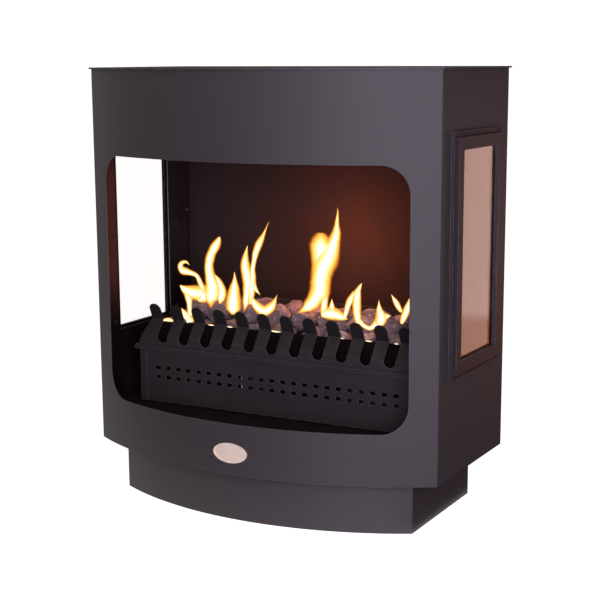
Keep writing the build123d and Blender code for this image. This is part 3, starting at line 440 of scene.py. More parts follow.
# Near-black, non-reflective layer over everything inside the body: soot, and painted shade where the
# firebox and the burner box lie dark.
inside_soot_and_shade, taken, given = new_effect(
    "inside_soot_and_shade",
    [
        ("Soot Color", (0.007, 0.0035, 0.003, 1.0)),
        ("Flame Glow Color", (0.10, 0.030, 0.018, 1.0)),
        ("Amount", 0.95),
    ],
    [("Metallic", "NodeSocketFloat")],
)
soot_at = object_place(inside_soot_and_shade)
flat_place = place(inside_soot_and_shade, "CombineXYZ", X=soot_at["X"], Y=soot_at["Y"]).outputs["Vector"]
from_bow_axis = place(inside_soot_and_shade, "VectorMath", {"operation": "DISTANCE"}, Vector=flat_place)
from_bow_axis.inputs[1].default_value = bow_axis
from_middle = reckon(inside_soot_and_shade, "ABSOLUTE", soot_at["X"])
within = product(
    inside_soot_and_shade,
    reckon(inside_soot_and_shade, "LESS_THAN", from_bow_axis.outputs["Value"], inside_bow_radius),
    reckon(inside_soot_and_shade, "LESS_THAN", from_middle, inside_half_width),
    between(inside_soot_and_shade, soot_at["Z"], base_panel_top, base_panel_top + 0.002),
    reckon(inside_soot_and_shade, "LESS_THAN", soot_at["Y"], inside_back_y),
)
sooty_and_shaded_patches = between(inside_soot_and_shade, grain(inside_soot_and_shade, 9.0, 4.0), 0.3, 0.7, 0.85, 1.0)
thinner_above = between(inside_soot_and_shade, soot_at["Z"], 0.42, 0.31, 0.85, 1.0)
sooty_and_shaded = product(inside_soot_and_shade, within, product(inside_soot_and_shade, sooty_and_shaded_patches, thinner_above), taken["Amount"])
# Painted glow of the flames: an orange brown on the inner faces near the front, beside the flames.
painted_flame_glow = product(
    inside_soot_and_shade,
    between(inside_soot_and_shade, soot_at["Z"], flame_glow_low_z, flame_glow_low_z + 0.14),
    between(inside_soot_and_shade, soot_at["Z"], flame_glow_high_z, flame_glow_high_z - 0.16),
    between(inside_soot_and_shade, soot_at["Y"], flame_glow_front_y + 0.014, flame_glow_front_y),
)
layer_colour = blended(inside_soot_and_shade, painted_flame_glow, taken["Soot Color"], taken["Flame Glow Color"])
inside_soot_and_shade.links.new(blended(inside_soot_and_shade, sooty_and_shaded, taken["Color"], layer_colour), given["Color"])
roughened = reckon(inside_soot_and_shade, "ADD", taken["Roughness"], product(inside_soot_and_shade, sooty_and_shaded, soot_roughness))
inside_soot_and_shade.links.new(roughened, given["Roughness"])
inside_soot_and_shade.links.new(sooty_and_shaded, given["Metallic"])

casing_paint = new_finish("casing_paint", casing_colour, 0.58, 0.0012, Specular_IOR_Level=0.5)
lay_over(casing_paint, speckle, 0.00006, Fine_Scale=620.0, Broad_Scale=4.0, Tone_Change=0.16)
lay_over(
    casing_paint,
    rubbed_and_lit_edges,
    Rubbed_Color=rubbed_and_lit_colour,
    Rubbed_Roughness=0.45,
    Reach=0.0018,
    Amount=0.55,
)
lay_over(casing_paint, settled_dust, Dust_Color=(0.12, 0.11, 0.11, 1.0), Amount=0.13)
soot_and_shade_layer = lay_over(casing_paint, inside_soot_and_shade)
casing_shader = casing_paint.node_tree.nodes["Principled BSDF"]
casing_paint.node_tree.links.new(soot_and_shade_layer.outputs["Metallic"], casing_shader.inputs["Metallic"])
dress("casing_paint", casing_paint)

# Window surrounds, panes and their seals
# A folded trim frame and a raised retainer of painted sheet hold each clear ceramic pane against
# a woven glass-fibre tape, with six dome-headed screws in the groove between them.
window_black = (0.026, 0.018, 0.020, 1)
window_paint = new_finish("window_paint", window_black, 0.42, 0.0006, Specular_IOR_Level=0.18)
lay_over(window_paint, speckle, 0.00004, Fine_Scale=900.0, Broad_Scale=9.0, Tone_Change=0.2)
lay_over(window_paint, rubbed_and_lit_edges, Rubbed_Color=(0.2, 0.18, 0.18, 1.0), Reach=0.001, Amount=0.6)
dress("window_paint", window_paint)

pane_glass = new_finish("pane_glass", (0.99, 0.995, 0.99, 1), 0.0, 0, Transmission_Weight=1.0, IOR=1.3)
pane_tree = pane_glass.node_tree
smears = between(pane_tree, grain(pane_tree, 28.0, 5.0), 0.45, 0.8, 0.0, 0.006)
pane_tree.links.new(smears, pane_tree.nodes["Principled BSDF"].inputs["Roughness"])
dress("pane_glass", pane_glass)

weave, taken, given = new_effect(
    "weave", [("Threads", 500.0), ("Depth", 0.5)], [("Height", "NodeSocketFloat")]
)
weave_at = place(weave, "TexCoord").outputs["Object"]
threads = []
for direction in ("Y", "Z"):
    threads.append(
        place(
            weave,
            "TexWave",
            {"bands_direction": direction, "wave_profile": "SIN"},
            Vector=weave_at,
            Scale=taken["Threads"],
            Distortion=0.6,
        ).outputs["Fac"]
    )
crossing = product(weave, *threads)
gap_dark = reckon(weave, "SUBTRACT", 1.0, taken["Depth"])
gap_tone = place(weave, "MapRange", Value=crossing, To_Min=gap_dark, To_Max=1.0).outputs["Result"]
weave.links.new(toned(weave, taken["Color"], gap_tone), given["Color"])
smoothed = reckon(weave, "SUBTRACT", taken["Roughness"], product(weave, crossing, 0.1))
weave.links.new(smoothed, given["Roughness"])
weave.links.new(crossing, given["Height"])

seal_tape = new_finish("seal_tape", (0.30, 0.28, 0.26, 1), 0.9, 0)
lay_over(seal_tape, weave, 0.0002, Threads=420.0)
dress("seal_tape", seal_tape)

# Badge plate
# An oval of brushed plate with a bright raised rim, bent to the bow and pushed through the front
# on two studs. Its face is bare.
streaks, taken, given = new_effect(
    "streaks",
    [("Along Scale", 12.0), ("Across Scale", 2500.0), ("Tone Change", 0.2), ("Roughness Change", 0.2)],
    [("Height", "NodeSocketFloat")],
)
stretched_scale = place(
    streaks, "CombineXYZ", X=taken["Along Scale"], Y=taken["Across Scale"], Z=taken["Across Scale"]
)
stretched_at = place(streaks, "VectorMath", {"operation": "MULTIPLY"})
streaks.links.new(place(streaks, "TexCoord").outputs["Object"], stretched_at.inputs[0])
streaks.links.new(stretched_scale.outputs[0], stretched_at.inputs[1])
streak = grain(streaks, 1.0, 2.0, stretched_at.outputs[0])
streak_low = reckon(streaks, "SUBTRACT", 1.0, taken["Tone Change"])
streak_tone = place(
    streaks, "MapRange", Value=streak, From_Min=0.3, From_Max=0.7, To_Min=streak_low, To_Max=1.0
)
streaks.links.new(toned(streaks, taken["Color"], streak_tone.outputs["Result"]), given["Color"])
streak_rough = product(streaks, streak, taken["Roughness Change"])
streaks.links.new(reckon(streaks, "ADD", taken["Roughness"], streak_rough), given["Roughness"])
streaks.links.new(streak, given["Height"])

badge_metal = new_finish("badge_metal", (0.90, 0.75, 0.56, 1), 0.28, 0.0005, Metallic=0.3)
lay_over(badge_metal, streaks, 0.00002, Along_Scale=20.0, Across_Scale=2200.0)
bright_rim = (0.95, 0.93, 0.9, 1.0)
lay_over(badge_metal, rubbed_and_lit_edges, Rubbed_Color=bright_rim, Rubbed_Roughness=0.15, Reach=0.0008)
dress("badge_metal", badge_metal)

# Firebox lining
# Rear panel, firebox floor, baffle and the brackets in dark high-temperature paint. The flames
# have browned the paint behind them, most behind the largest, and left a little soot.
stain_centre = (0.06, 0.14, 0.42)
stain_reach = 0.42
stain_core = 0.06
heat_stain, taken, given = new_effect(
    "heat_stain", [("Stain Color", (0.12, 0.05, 0.03, 1.0)), ("Amount", 0.5)], []
)
stain_at = place(heat_stain, "TexCoord").outputs["Object"]
from_fire = place(heat_stain, "VectorMath", {"operation": "DISTANCE"}, Vector=stain_at)
from_fire.inputs[1].default_value = stain_centre
near_fire = between(heat_stain, from_fire.outputs["Value"], stain_reach, stain_core)
cloudy = between(heat_stain, grain(heat_stain, 14.0, 5.0), 0.3, 0.7, 0.45, 1.0)
stained = product(heat_stain, near_fire, cloudy, taken["Amount"])
heat_stain.links.new(blended(heat_stain, stained, taken["Color"], taken["Stain Color"]), given["Color"])
dulled = reckon(heat_stain, "ADD", taken["Roughness"], product(heat_stain, stained, 0.1))
heat_stain.links.new(dulled, given["Roughness"])

firebox_black = (0.008, 0.005, 0.006, 1)
firebox_paint = new_finish("firebox_paint", firebox_black, 0.88, 0.0008, Specular_IOR_Level=0.07)
lay_over(firebox_paint, speckle, 0.00006, Fine_Scale=500.0, Broad_Scale=7.0, Tone_Change=0.3)
lay_over(firebox_paint, heat_stain, Stain_Color=(0.042, 0.016, 0.010, 1.0), Amount=0.6)
lay_over(firebox_paint, rubbed_and_lit_edges, Rubbed_Color=(0.09, 0.075, 0.07, 1.0), Reach=0.0015, Amount=0.4)
lay_over(firebox_paint, settled_dust, Dust_Color=(0.03, 0.025, 0.025, 1.0), Amount=0.12)
dress("firebox_paint", firebox_paint)

rear_paint = new_finish("rear_paint", casing_colour, 0.7, 0.0008, Specular_IOR_Level=0.12)
lay_over(rear_paint, speckle, 0.00006, Fine_Scale=620.0, Broad_Scale=4.0, Tone_Change=0.2)
lay_over(
    rear_paint,
    rubbed_and_lit_edges,
    Rubbed_Color=rubbed_and_lit_colour,
    Rubbed_Roughness=0.45,
    Reach=0.0018,
    Amount=0.5,
)
# The rear panel's inside is laid near-black, for soot and as painted shade.
lay_over(rear_paint, inside_soot_and_shade, Soot_Color=(0.017, 0.0105, 0.0105, 1.0))
lay_over(rear_paint, heat_stain, Stain_Color=(0.030, 0.010, 0.006, 1.0), Amount=0.6)
dress_node("rear_panel", rear_paint)

# Burner box, tray rim, fender and coal guard
# Folded and pierced sheet in satin black high-temperature paint. Folds and finger edges are
# rubbed bright, which also paints their highlight, ash has settled on the ledges, and the faces
# towards the fire are scorched. The fingers above their bend and the ribs above the fold are
# painted darker as shade, and the coal guard is painted near-black as the shade behind the fender.
grate_black = (0.0265, 0.0195, 0.0205, 1)
scorched_and_shaded_black = (0.003, 0.0025, 0.0025, 1)
bend_z = 0.294
lean_share = 0.7586
behind_fender_y = -0.0543
grate_middle_y = 0.0
rim_low_z = 0.271
finger_bend_z = 0.3225
grate_paint = new_finish("grate_paint", grate_black, 0.42, 0.0006, Specular_IOR_Level=0.2)
lay_over(grate_paint, speckle, 0.00005, Fine_Scale=800.0, Broad_Scale=12.0, Tone_Change=0.3)
lay_over(grate_paint, rubbed_and_lit_edges, Rubbed_Color=(0.15, 0.13, 0.13, 1.0), Reach=0.0012, Amount=0.7)
lay_over(grate_paint, settled_dust, Dust_Color=(0.07, 0.06, 0.06, 1.0), Amount=0.2)


def shown_so_far(shader, label):
    """What feeds one of the shader's inputs so far."""
    return shader.inputs[label].links[0].from_socket


fire_side = grate_paint.node_tree
grate_at = object_place(fire_side)
over_bend = reckon(fire_side, "SUBTRACT", grate_at["Z"], bend_z)
set_back = reckon(fire_side, "SUBTRACT", grate_at["Y"], behind_fender_y)
front_half = reckon(fire_side, "LESS_THAN", grate_at["Y"], grate_middle_y)
fire_faces = product(
    fire_side,
    reckon(fire_side, "GREATER_THAN", set_back, product(fire_side, over_bend, lean_share)),
    front_half,
    between(fire_side, grate_at["Z"], rim_low_z, rim_low_z + 0.001),
)
# Painted shade: the fingers above their bend in the front half, and the ribs above the fold, are laid
# darker along with the scorch on the faces towards the fire.
shaded_fingers = between(fire_side, grate_at["Z"], finger_bend_z, finger_bend_z + 0.003, 0.0, 0.8)
shaded_ribs = between(fire_side, grate_at["Z"], bend_z - 0.008, bend_z + 0.008, 0.0, 0.42)
scorched_and_shaded = product(fire_side, fire_faces, 0.95)
scorched_and_shaded = reckon(fire_side, "MAXIMUM", scorched_and_shaded, product(fire_side, shaded_fingers, front_half))
scorched_and_shaded = reckon(fire_side, "MAXIMUM", scorched_and_shaded, shaded_ribs)
grate_shader = fire_side.nodes["Principled BSDF"]
clean_colour = shown_so_far(grate_shader, "Base Color")
clean_rough = shown_so_far(grate_shader, "Roughness")
scorched_and_shaded_colour = blended(fire_side, scorched_and_shaded, clean_colour, scorched_and_shaded_black)
scorched_and_shaded_rough = reckon(fire_side, "ADD", clean_rough, product(fire_side, scorched_and_shaded, soot_roughness))
fire_side.links.new(scorched_and_shaded_colour, grate_shader.inputs["Base Color"])
fire_side.links.new(scorched_and_shaded_rough, grate_shader.inputs["Roughness"])
dress("grate_paint", grate_paint)

# The coal guard behind the fender is painted near-black with almost no gloss, as painted shade seen
# through the slots.
guard_shade_colour = (0.003, 0.0022, 0.0022, 1)
guard_painted_shade = new_finish("guard_painted_shade", guard_shade_colour, 0.92, 0, Specular_IOR_Level=0.05)
lay_over(guard_painted_shade, speckle, 0.00005, Fine_Scale=500.0, Broad_Scale=20.0, Tone_Change=0.4)
dress_node("front_coal_guard", guard_painted_shade)

# Coal grid
# Flat bars of dark iron welded across three plates that stand on the rim. Heat has scaled them,
# with rust in patches.
grid_iron = new_finish("grid_iron", (0.055, 0.050, 0.048, 1), 0.7, 0.0005, Metallic=0.6)
lay_over(grid_iron, speckle, 0.0002, Fine_Scale=350.0, Broad_Scale=30.0, Tone_Change=0.5)
lay_over(grid_iron, heat_stain, Stain_Color=(0.16, 0.06, 0.03, 1.0), Amount=0.7)
dress("grid_iron", grid_iron)

# Coals
# Loose lumps of cast ceramic fibre, dull purple grey, lying in two layers on the grid. Each has
# its own knobbly shape, and the flames have burnt pale ash onto the tops.
coal_size = Vector((0.0295, 0.0265, 0.0215))
coal_step = Vector((0.0586, 0.0526, 0))
lower_columns = 9
lower_rows = 3
first_upper_number = 40
grid_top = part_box("coal_grid")[1].z
bump_pitches_and_heights = ((30.0, 0.34), (75.0, 0.20), (190.0, 0.09), (430.0, 0.04))
turn_per_coal = 2.4
largest_tilt = 0.35
largest_wander = Vector((0.004, 0.004, 0.002))
coal_front_slope = 0.2
purple_grey = (0.165, 0.12, 0.137, 1)
ash_grey = (0.42, 0.33, 0.33, 1)
deep_shade = (0.012, 0.008, 0.010, 1)
lit_from_z = 0.320
shaded_from_z = 0.308

coal_ceramic = new_finish("coal_ceramic", purple_grey, 0.9, 0, Specular_IOR_Level=0.25)
lay_over(coal_ceramic, speckle, 0.0016, Fine_Scale=330.0, Broad_Scale=45.0, Tone_Change=0.75)
lay_over(coal_ceramic, settled_dust, Dust_Color=(0.36, 0.28, 0.28, 1.0), Amount=0.6)
burnt = coal_ceramic.node_tree
flecks = between(burnt, grain(burnt, 240.0, 4.0), 0.60, 0.68, 0.0, 0.7)
coal_shader = burnt.nodes["Principled BSDF"]
flecked = blended(burnt, flecks, shown_so_far(coal_shader, "Base Color"), ash_grey)
shaded = between(burnt, object_place(burnt)["Z"], lit_from_z, shaded_from_z, 0.0, 0.9)
burnt.links.new(blended(burnt, shaded, flecked, deep_shade), coal_shader.inputs["Base Color"])
dress("coal_ceramic", coal_ceramic)


def lump(mesh, centre, number, flat_z, front_y):
    """One knobbly coal about a point, no lower than a height and no nearer than a front."""
    tilt = Matrix.Rotation(largest_tilt * sin(number * 1.7), 3, "X")
    turn = Matrix.Rotation(number * turn_per_coal, 3, "Z") @ tilt
    own_noise = Vector((number * 7.3, number * 3.1, 0))
    made = bmesh.ops.create_icosphere(mesh, subdivisions=4, radius=1.0)["verts"]
    for vert in made:
        way = vert.co.normalized()
        size = Vector((way.x * coal_size.x, way.y * coal_size.y, way.z * coal_size.z))
        swell = 1.0
        for pitch, height in bump_pitches_and_heights:
            swell += height * noise.noise(size * pitch + own_noise + Vector((0, 0, pitch)))
        vert.co = centre + turn @ (size * swell)
        vert.co.z = max(vert.co.z, flat_z)
        vert.co.y = max(vert.co.y, front_y + coal_front_slope * (vert.co.z - flat_z))


def coal_layer(name, node, columns, rows, first_number):
    """Rows of coals that lie where the record's node has its plain ones."""
    mesh = bmesh.new()
    low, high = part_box(node)
    middle = (low + high) / 2
    for row in range(rows):
        for column in range(columns):
            number = first_number + row * columns + column
            across = (column - (columns - 1) / 2) * coal_step.x
            along = (row - (rows - 1) / 2) * coal_step.y
            stray = Vector((sin(number * 2.1), cos(number * 3.3), sin(number * 5.7)))
            centre = Vector((middle.x + across, middle.y + along, high.z - coal_size.z))
            lump(mesh, centre + stray * largest_wander, number, grid_top, low.y)
    layer = piece_from(name, mesh, coal_ceramic)
    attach(layer, "casing")
    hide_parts(node)


coal_layer("lower_coals", "coals_lower", lower_columns, lower_rows, 1)
coal_layer("upper_coals", "coals_upper", lower_columns - 1, lower_rows - 1, first_upper_number)

# Flames
# Burning gas that stands on the coals in separate tongues. Each is a closed body with a white
# core turned a little to one side, yellow towards its edges and a thin orange rim, that cools
# at its foot and tip.
mm = 0.001
flame_row_y = -10 * mm
glint_row_y = -33 * mm
flame_thickness_share = 0.55
core_turn = radians(16.5)
ring_sides = 28
rings_between = 6
foot_share = 0.14
tip_share = 0.32
lick_pitch = 0.05
lick_shift = 0.9
width_share = 1.04
lick_width_share = 0.12
least_half_width = 0.4
look_ahead = 0.01

flame_gas, gas, gas_shader = new_material("flame_gas")
flame_gas.cycles.emission_sampling = "NONE"
gas_shader.inputs["Base Color"].default_value = (0, 0, 0, 1)
gas_shader.inputs["Specular IOR Level"].default_value = 0
gas_shader.inputs["Roughness"].default_value = 1
gas_shader.inputs["Emission Strength"].default_value = 1.3
across_flame = place(gas, "Attribute", {"attribute_name": "across"}).outputs["Fac"]
cooled_flame = place(gas, "Attribute", {"attribute_name": "cooled"}).outputs["Fac"]
flicker = between(gas, grain(gas, 60.0, 3.0), 0.3, 0.7, 0.0, 0.10)
coolness = reckon(gas, "ADD", reckon(gas, "POWER", across_flame, 1.15), flicker)
coolness = reckon(gas, "ADD", coolness, cooled_flame)


def colour_steps(tree, value, steps):
    """Colour ramp through steps of a position and its colour."""
    ramp = tree.nodes.new("ShaderNodeValToRGB")
    while len(ramp.color_ramp.elements) < len(steps):
        ramp.color_ramp.elements.new(0.5)
    for element, (position, colour) in zip(ramp.color_ramp.elements, steps):
        element.position = position
        element.color = colour
    tree.links.new(value, ramp.inputs["Fac"])
    return ramp.outputs["Color"]


gas_colours = (
    (0.0, (1.0, 0.98, 0.92, 1)),
    (0.20, (1.0, 0.96, 0.78, 1)),
    (0.42, (1.0, 0.76, 0.24, 1)),
    (0.62, (1.0, 0.50, 0.07, 1)),
    (0.80, (0.95, 0.25, 0.018, 1)),
    (1.0, (0.60, 0.10, 0.006, 1)),
)
gas.links.new(colour_steps(gas, coolness, gas_colours), gas_shader.inputs["Emission Color"])
gas.links.new(between(gas, coolness, 1.0, 0.42), gas_shader.inputs["Alpha"])


def curve_through(points, share):
    """Point on the smooth curve through a list of points, at a share of its length in steps."""
    reach = share * (len(points) - 1)
    start = min(int(reach), len(points) - 2)
    t = reach - start
    before, here, there, after = (
        points[max(0, min(len(points) - 1, start + step))] for step in (-1, 0, 1, 2)
    )
    return (
        here * (2 - 5 * t * t + 3 * t**3)
        + there * (t + 4 * t * t - 3 * t**3)
        + before * (-t + 2 * t * t - t**3)
        + after * (t**3 - t * t)
    ) / 2


def vertex_value(mesh, name):
    """The mesh's own value for each vertex under a name, made if it isn't there."""
    return mesh.verts.layers.float.get(name) or mesh.verts.layers.float.new(name)


def drawn_tube(mesh, sides, steps, place_ring):
    """Closed tube drawn along; place_ring puts the points of each ring, by its share of the way."""
    turn = vertex_value(mesh, "turn")
    ring = bmesh.ops.create_circle(mesh, segments=sides, radius=1)["verts"]
    for number, vert in enumerate(ring):
        vert[turn] = number * 2 * pi / sides
    edges = list({edge for vert in ring for edge in vert.link_edges})
    first = edges
    for step in range(steps + 1):
        if step:
            pulled = bmesh.ops.extrude_edge_only(mesh, edges=edges)["geom"]
            ring = [part for part in pulled if isinstance(part, bmesh.types.BMVert)]
            edges = [part for part in pulled if isinstance(part, bmesh.types.BMEdge)]
            edges = [edge for edge in edges if all(vert in ring for vert in edge.verts)]
        place_ring(step / steps, [(vert, vert[turn]) for vert in ring])
    bmesh.ops.edgeloop_fill(mesh, edges=first)
    bmesh.ops.edgeloop_fill(mesh, edges=edges)


def tongue(mesh, row_y, foot, tip, *stations):
    """One tongue through its stations (across, height, half width in mm), cooled at foot and tip."""
    across = vertex_value(mesh, "across")
    cooled = vertex_value(mesh, "cooled")
    points = [Vector(station) for station in stations]

    def place_ring(share, ring):
        """Puts one ring square to the tongue's way, with its colours' values."""
        here = curve_through(points, share)
        behind = curve_through(points, max(0.0, share - look_ahead))
        ahead = curve_through(points, min(1.0, share + look_ahead)) - behind
        way = Vector((ahead.x, 0, ahead.y)).normalized()
        side = Vector((way.z, 0, -way.x))
        lick = noise.noise(Vector((here.x, here.y, points[0].x)) * lick_pitch)
        middle = Vector((here.x + lick_shift * lick, 0, here.y)) * mm + Vector((0, row_y, 0))
        width = max(here.z * (width_share + lick_width_share * lick), least_half_width) * mm
        near_foot = max(0.0, 1 - share / foot_share)
        near_tip = max(0.0, 1 - (1 - share) / tip_share)
        for vert, angle in ring:
            depth = flame_thickness_share * width * sin(angle)
            vert.co = middle + side * (width * cos(angle)) + Vector((0, depth, 0))
            vert[across] = abs(cos(angle - core_turn * way.z))
            vert[cooled] = foot * near_foot + tip * near_tip

    drawn_tube(mesh, ring_sides, (len(points) - 1) * rings_between, place_ring)


def flame(name, *tongues, row_y=flame_row_y):
    """A flame of one or more tongues, standing on the coals."""
    mesh = bmesh.new()
    for foot, tip, *stations in tongues:
        tongue(mesh, row_y, foot, tip, *stations)
    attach(piece_from(name, mesh, flame_gas), "casing")


flame(
    "hook_flame",
    (
        0.1,
        0.45,
        (-171, 378, 9),
        (-179, 394, 7),
        (-188, 409, 5),
        (-205, 414, 7),
        (-219, 417, 9),
        (-224, 425, 7),
        (-219, 432, 5),
        (-210, 433, 4),
        (-204, 428, 1),
    ),
    (0.3, 0.1, (-226, 387, 2), (-214, 380, 10), (-200, 377, 15), (-185, 376, 18), (-170, 380, 16)),
    (0.3, 0.1, (-203, 326, 6), (-205, 340, 6), (-206, 356, 7), (-207, 372, 12), (-206, 384, 8)),
    (0.2, 0.3, (-196, 306, 4), (-203, 316, 11), (-211, 326, 11), (-219, 336, 6), (-224, 343, 1)),
)
flame(
    "tall_flame",
    (
        0.8,
        0.2,
        (-157, 348, 12),
        (-157, 366, 17),
        (-152, 384, 20),
        (-155, 402, 15),
        (-160, 424, 11),
        (-158, 443, 11),
        (-149, 462, 11),
        (-140, 475, 9),
        (-136, 483, 5),
        (-135, 486, 0.6),
    ),
    (0.5, 0.4, (-137, 360, 7), (-133, 376, 11), (-134, 390, 10), (-141, 405, 6), (-148, 414, 1)),
    (0.7, 0.2, (-186, 364, 8), (-170, 372, 15), (-156, 384, 14)),
)
flame(
    "cone_flame",
    (
        0.6,
        0.35,
        (-109, 342, 14),
        (-108, 356, 18),
        (-107, 372, 17),
        (-105, 390, 12),
        (-104, 406, 6),
        (-104, 422, 0.6),
    ),
)
flame(
    "twin_flame",
    (
        0.9,
        0.35,
        (-84, 346, 6),
        (-80, 366, 8),
        (-76, 385, 11),
        (-75, 402, 12),
        (-77, 420, 13),
        (-80, 438, 12),
        (-79, 454, 8),
        (-75, 473, 0.6),
    ),
    (
        0.4,
        0.5,
        (-71, 364, 8),
        (-67, 388, 9),
        (-65, 410, 8),
        (-64, 430, 6),
        (-61, 447, 6),
        (-56, 464, 8),
        (-48, 481, 9),
        (-38, 499, 5),
        (-28, 520, 0.6),
    ),
    (0.1, 0.5, (-64, 410, 6), (-59, 394, 5), (-48, 382, 0.6)),
)
flame(
    "low_flame",
    (
        0.2,
        0.5,
        (-74, 388, 3),
        (-64, 369, 7),
        (-51, 357, 11),
        (-38, 354, 12),
        (-26, 361, 10),
        (-18, 373, 6),
        (-12, 386, 0.8),
    ),
)
flame(
    "big_flame",
    (
        0.8,
        0.42,
        (27, 353, 2),
        (42, 362, 9),
        (56, 373, 14),
        (67, 386, 18),
        (76, 402, 22),
        (79, 424, 24),
        (84, 444, 24.5),
        (93, 461, 24.5),
        (101, 479, 21),
        (106, 492, 16),
        (110, 508, 11),
        (112, 528, 6),
        (113, 544, 3),
        (112, 552, 0.5),
    ),
    (
        0.3,
        0.55,
        (77, 426, 14),
        (77, 434, 17),
        (77, 443, 19.5),
        (78, 454, 22),
        (79, 468, 24),
        (79, 486, 25.5),
        (79.5, 496, 26),
        (80, 503, 24.5),
    ),
    (0.5, 0.0, (82, 352, 7), (85, 370, 8), (86, 388, 10), (86, 406, 12), (86, 424, 14)),
)
flame(
    "leg_flame",
    (0.2, 0.2, (82, 358, 8), (95, 360, 13), (108, 359, 14), (121, 355, 8), (132, 352, 1)),
    (0.0, 0.4, (101, 362, 13), (101, 373, 7), (101, 387, 0.6)),
)
flame(
    "right_flame",
    (
        0.6,
        0.25,
        (154, 338, 6),
        (153, 358, 9),
        (151, 374, 10),
        (151, 390, 10),
        (153, 403, 8),
        (158, 414, 4),
        (161, 420, 0.5),
    ),
    (0.7, 0.2, (125, 350, 4), (131, 370, 6), (137, 386, 7), (147, 402, 6)),
    (0.2, 0.1, (155, 354, 6), (163, 345, 5), (176, 340, 5), (187, 346, 7), (197, 358, 11)),
    (0.2, 0.4, (196, 348, 10), (199, 361, 13), (196, 376, 7), (195, 392, 0.5)),
    (0.0, 0.5, (196, 361, 10), (207, 363, 8), (219, 366, 0.8)),
)
flame(
    "far_right_flame",
    (0.3, 0.4, (239, 374, 4), (229, 389, 6), (219, 404, 0.8)),
    (0.4, 0.4, (239, 354, 5), (246, 371, 8), (251, 386, 6), (254, 400, 0.6)),
)
# Small glowing strips along the coal guard's top edge, seen through the fender's slots, paint the glints
# of flame light on that edge; the widest, at the left, also stands for a small flame.
flame(
    "slot_glints",
    (0.3, 0.3, (-250, 321, 3), (-243, 323, 4.5), (-236, 323, 4.5), (-228, 321, 3)),
    (0.2, 0.2, (-150, 321, 1), (-142, 321, 2), (-135, 320, 1)),
    (0.2, 0.2, (-108, 321, 1), (-101, 321, 2), (-94, 320, 1)),
    (0.2, 0.2, (-13, 322, 1), (-3, 321, 2.4), (7, 321, 1)),
    (0.2, 0.2, (128, 321, 1), (134, 321, 1.6), (140, 320, 0.8)),
    (0.2, 0.2, (180, 321, 1), (187, 321, 2.2), (194, 320, 1)),
    (0.2, 0.2, (236, 321, 1), (241, 321, 1.8), (246, 320, 0.8)),
    row_y=glint_row_y,
)

# Burner tubes, manifold, mixing tube and pilot
# Rolled stainless tube and folded sheet, drawn to straw and blue tints by the heat. Under the
# coals a near-black layer covers nearly all of it, for soot and as painted shade.
burner_steel = new_finish("burner_steel", (0.50, 0.46, 0.42, 1), 0.34, 0.0004, Metallic=1.0)
lay_over(burner_steel, streaks, 0.00003, Along_Scale=30.0, Across_Scale=900.0)
lay_over(burner_steel, heat_stain, Stain_Color=(0.22, 0.16, 0.26, 1.0), Amount=0.8)
lay_over(burner_steel, inside_soot_and_shade, Soot_Color=(0.016, 0.012, 0.012, 1.0), Amount=0.97)
dress("burner_steel", burner_steel)

# Brass and copper fittings
# Tap, injector and union are machined brass, and the gas pipes are drawn copper tube. Both have
# dulled unevenly where they were handled.
valve_brass = new_finish("valve_brass", (0.60, 0.42, 0.16, 1), 0.28, 0.0004, Metallic=1.0)
lay_over(valve_brass, streaks, 0.00002, Along_Scale=400.0, Across_Scale=900.0)
lay_over(valve_brass, speckle, Fine_Scale=300.0, Broad_Scale=40.0, Tone_Change=0.35)
bright_brass = (0.85, 0.66, 0.32, 1.0)
lay_over(valve_brass, rubbed_and_lit_edges, Rubbed_Color=bright_brass, Reach=0.0006, Rubbed_Roughness=0.2)
dress("valve_brass", valve_brass)

pipe_copper = new_finish("pipe_copper", (0.62, 0.28, 0.15, 1), 0.30, 0, Metallic=1.0)
lay_over(pipe_copper, speckle, 0.00003, Fine_Scale=260.0, Broad_Scale=26.0, Tone_Change=0.5)
dress("pipe_copper", pipe_copper)

# Screws, bolts, nuts and brackets
# Zinc-plated steel, bright where a tool has touched it and grey in the corners. What lies
# inside the body is laid near-black, for soot and as painted shade.
plated_steel = new_finish("plated_steel", (0.52, 0.52, 0.50, 1), 0.32, 0.0004, Metallic=1.0)
lay_over(plated_steel, speckle, 0.00003, Fine_Scale=500.0, Broad_Scale=60.0, Tone_Change=0.35)
bright_zinc = (0.75, 0.75, 0.73, 1.0)
lay_over(plated_steel, rubbed_and_lit_edges, Rubbed_Color=bright_zinc, Reach=0.0005, Rubbed_Roughness=0.2)
lay_over(plated_steel, inside_soot_and_shade, Soot_Color=(0.016, 0.013, 0.013, 1.0), Amount=0.97)
dress("plated_steel", plated_steel)

# Return spring
# Four open turns of plated wire between the tap's neck and the pocket in the knob.
spring_low, spring_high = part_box("knob_spring")
spring_middle = (spring_low + spring_high) / 2
spring_turns = 4
spring_wire = 0.0005
steps_per_turn = 28
wire_sides = 10
coil_radius = (spring_high.x - spring_low.x) / 2 - spring_wire
coil_start = spring_low.y + spring_wire
coil_length = spring_high.y - spring_low.y - 2 * spring_wire


def place_wire_ring(share, ring):
    """Puts one ring of the wire at its share of the coil."""
    angle = share * spring_turns * 2 * pi
    outwards = Vector((cos(angle), 0, sin(angle)))
    middle = Vector((spring_middle.x, coil_start + coil_length * share, spring_middle.z))
    for vert, around in ring:
        from_wire = outwards * cos(around) + Vector((0, sin(around), 0))
        vert.co = middle + outwards * coil_radius + from_wire * spring_wire


coil = bmesh.new()
drawn_tube(coil, wire_sides, spring_turns * steps_per_turn, place_wire_ring)
return_spring = piece_from("return_spring", coil, plated_steel)
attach(return_spring, "knob")
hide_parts("knob_spring")
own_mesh(return_spring)

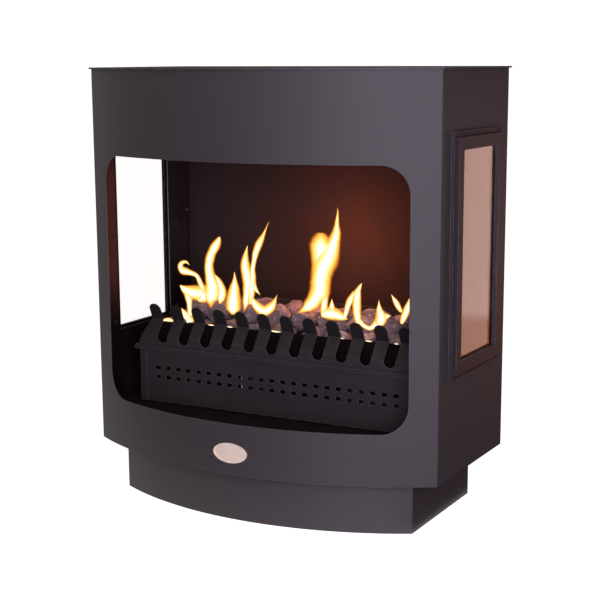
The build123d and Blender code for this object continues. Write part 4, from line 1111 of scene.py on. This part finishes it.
# Knob and igniter button
# The knob is moulded black plastic with a fine spark-eroded texture and rubbed flutes. The
# button is moulded in a glossy dark red.
knob_plastic = new_finish("knob_plastic", (0.022, 0.022, 0.023, 1), 0.45, 0.0004)
lay_over(knob_plastic, speckle, 0.00005, Fine_Scale=1400.0, Broad_Scale=50.0, Tone_Change=0.2)
worn_black = (0.07, 0.07, 0.07, 1.0)
lay_over(knob_plastic, rubbed_and_lit_edges, Rubbed_Color=worn_black, Reach=0.0006, Rubbed_Roughness=0.3)
dress("knob_plastic", knob_plastic)

button_plastic = new_finish("button_plastic", (0.30, 0.012, 0.010, 1), 0.18, 0.0004, Coat_Weight=0.3)
lay_over(button_plastic, speckle, 0.00001, Fine_Scale=900.0, Broad_Scale=120.0, Tone_Change=0.15)
dress("button_plastic", button_plastic)

# Electrode, lead and grommets
# A glazed ceramic sleeve with a bare wire tip, a silicone-covered lead, and black rubber rings
# where the gas pipe passes through the floor.
bare_wire_length = 0.010
wire_start_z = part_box("spark_electrode")[1].z - bare_wire_length
wire_grey = (0.35, 0.30, 0.28, 1)
electrode_ceramic = new_finish("electrode_ceramic", (0.78, 0.76, 0.70, 1), 0.15, 0, Coat_Weight=0.5)
lay_over(electrode_ceramic, speckle, Fine_Scale=600.0, Broad_Scale=90.0, Tone_Change=0.15)
sleeve = electrode_ceramic.node_tree
sleeve_shader = sleeve.nodes["Principled BSDF"]
bare_wire = reckon(sleeve, "GREATER_THAN", object_place(sleeve)["Z"], wire_start_z)
sleeve_colour = blended(sleeve, bare_wire, shown_so_far(sleeve_shader, "Base Color"), wire_grey)
sleeve.links.new(sleeve_colour, sleeve_shader.inputs["Base Color"])
sleeve.links.new(bare_wire, sleeve_shader.inputs["Metallic"])
dress("electrode_ceramic", electrode_ceramic)

lead_sleeve = new_finish("lead_sleeve", (0.16, 0.030, 0.018, 1), 0.5, 0)
lay_over(lead_sleeve, speckle, 0.00003, Fine_Scale=800.0, Broad_Scale=60.0, Tone_Change=0.3)
dress("lead_sleeve", lead_sleeve)

grommet_rubber = new_finish("grommet_rubber", (0.020, 0.020, 0.020, 1), 0.7, 0.0003)
lay_over(grommet_rubber, speckle, 0.00005, Fine_Scale=700.0, Broad_Scale=80.0, Tone_Change=0.3)
dress("grommet_rubber", grommet_rubber)
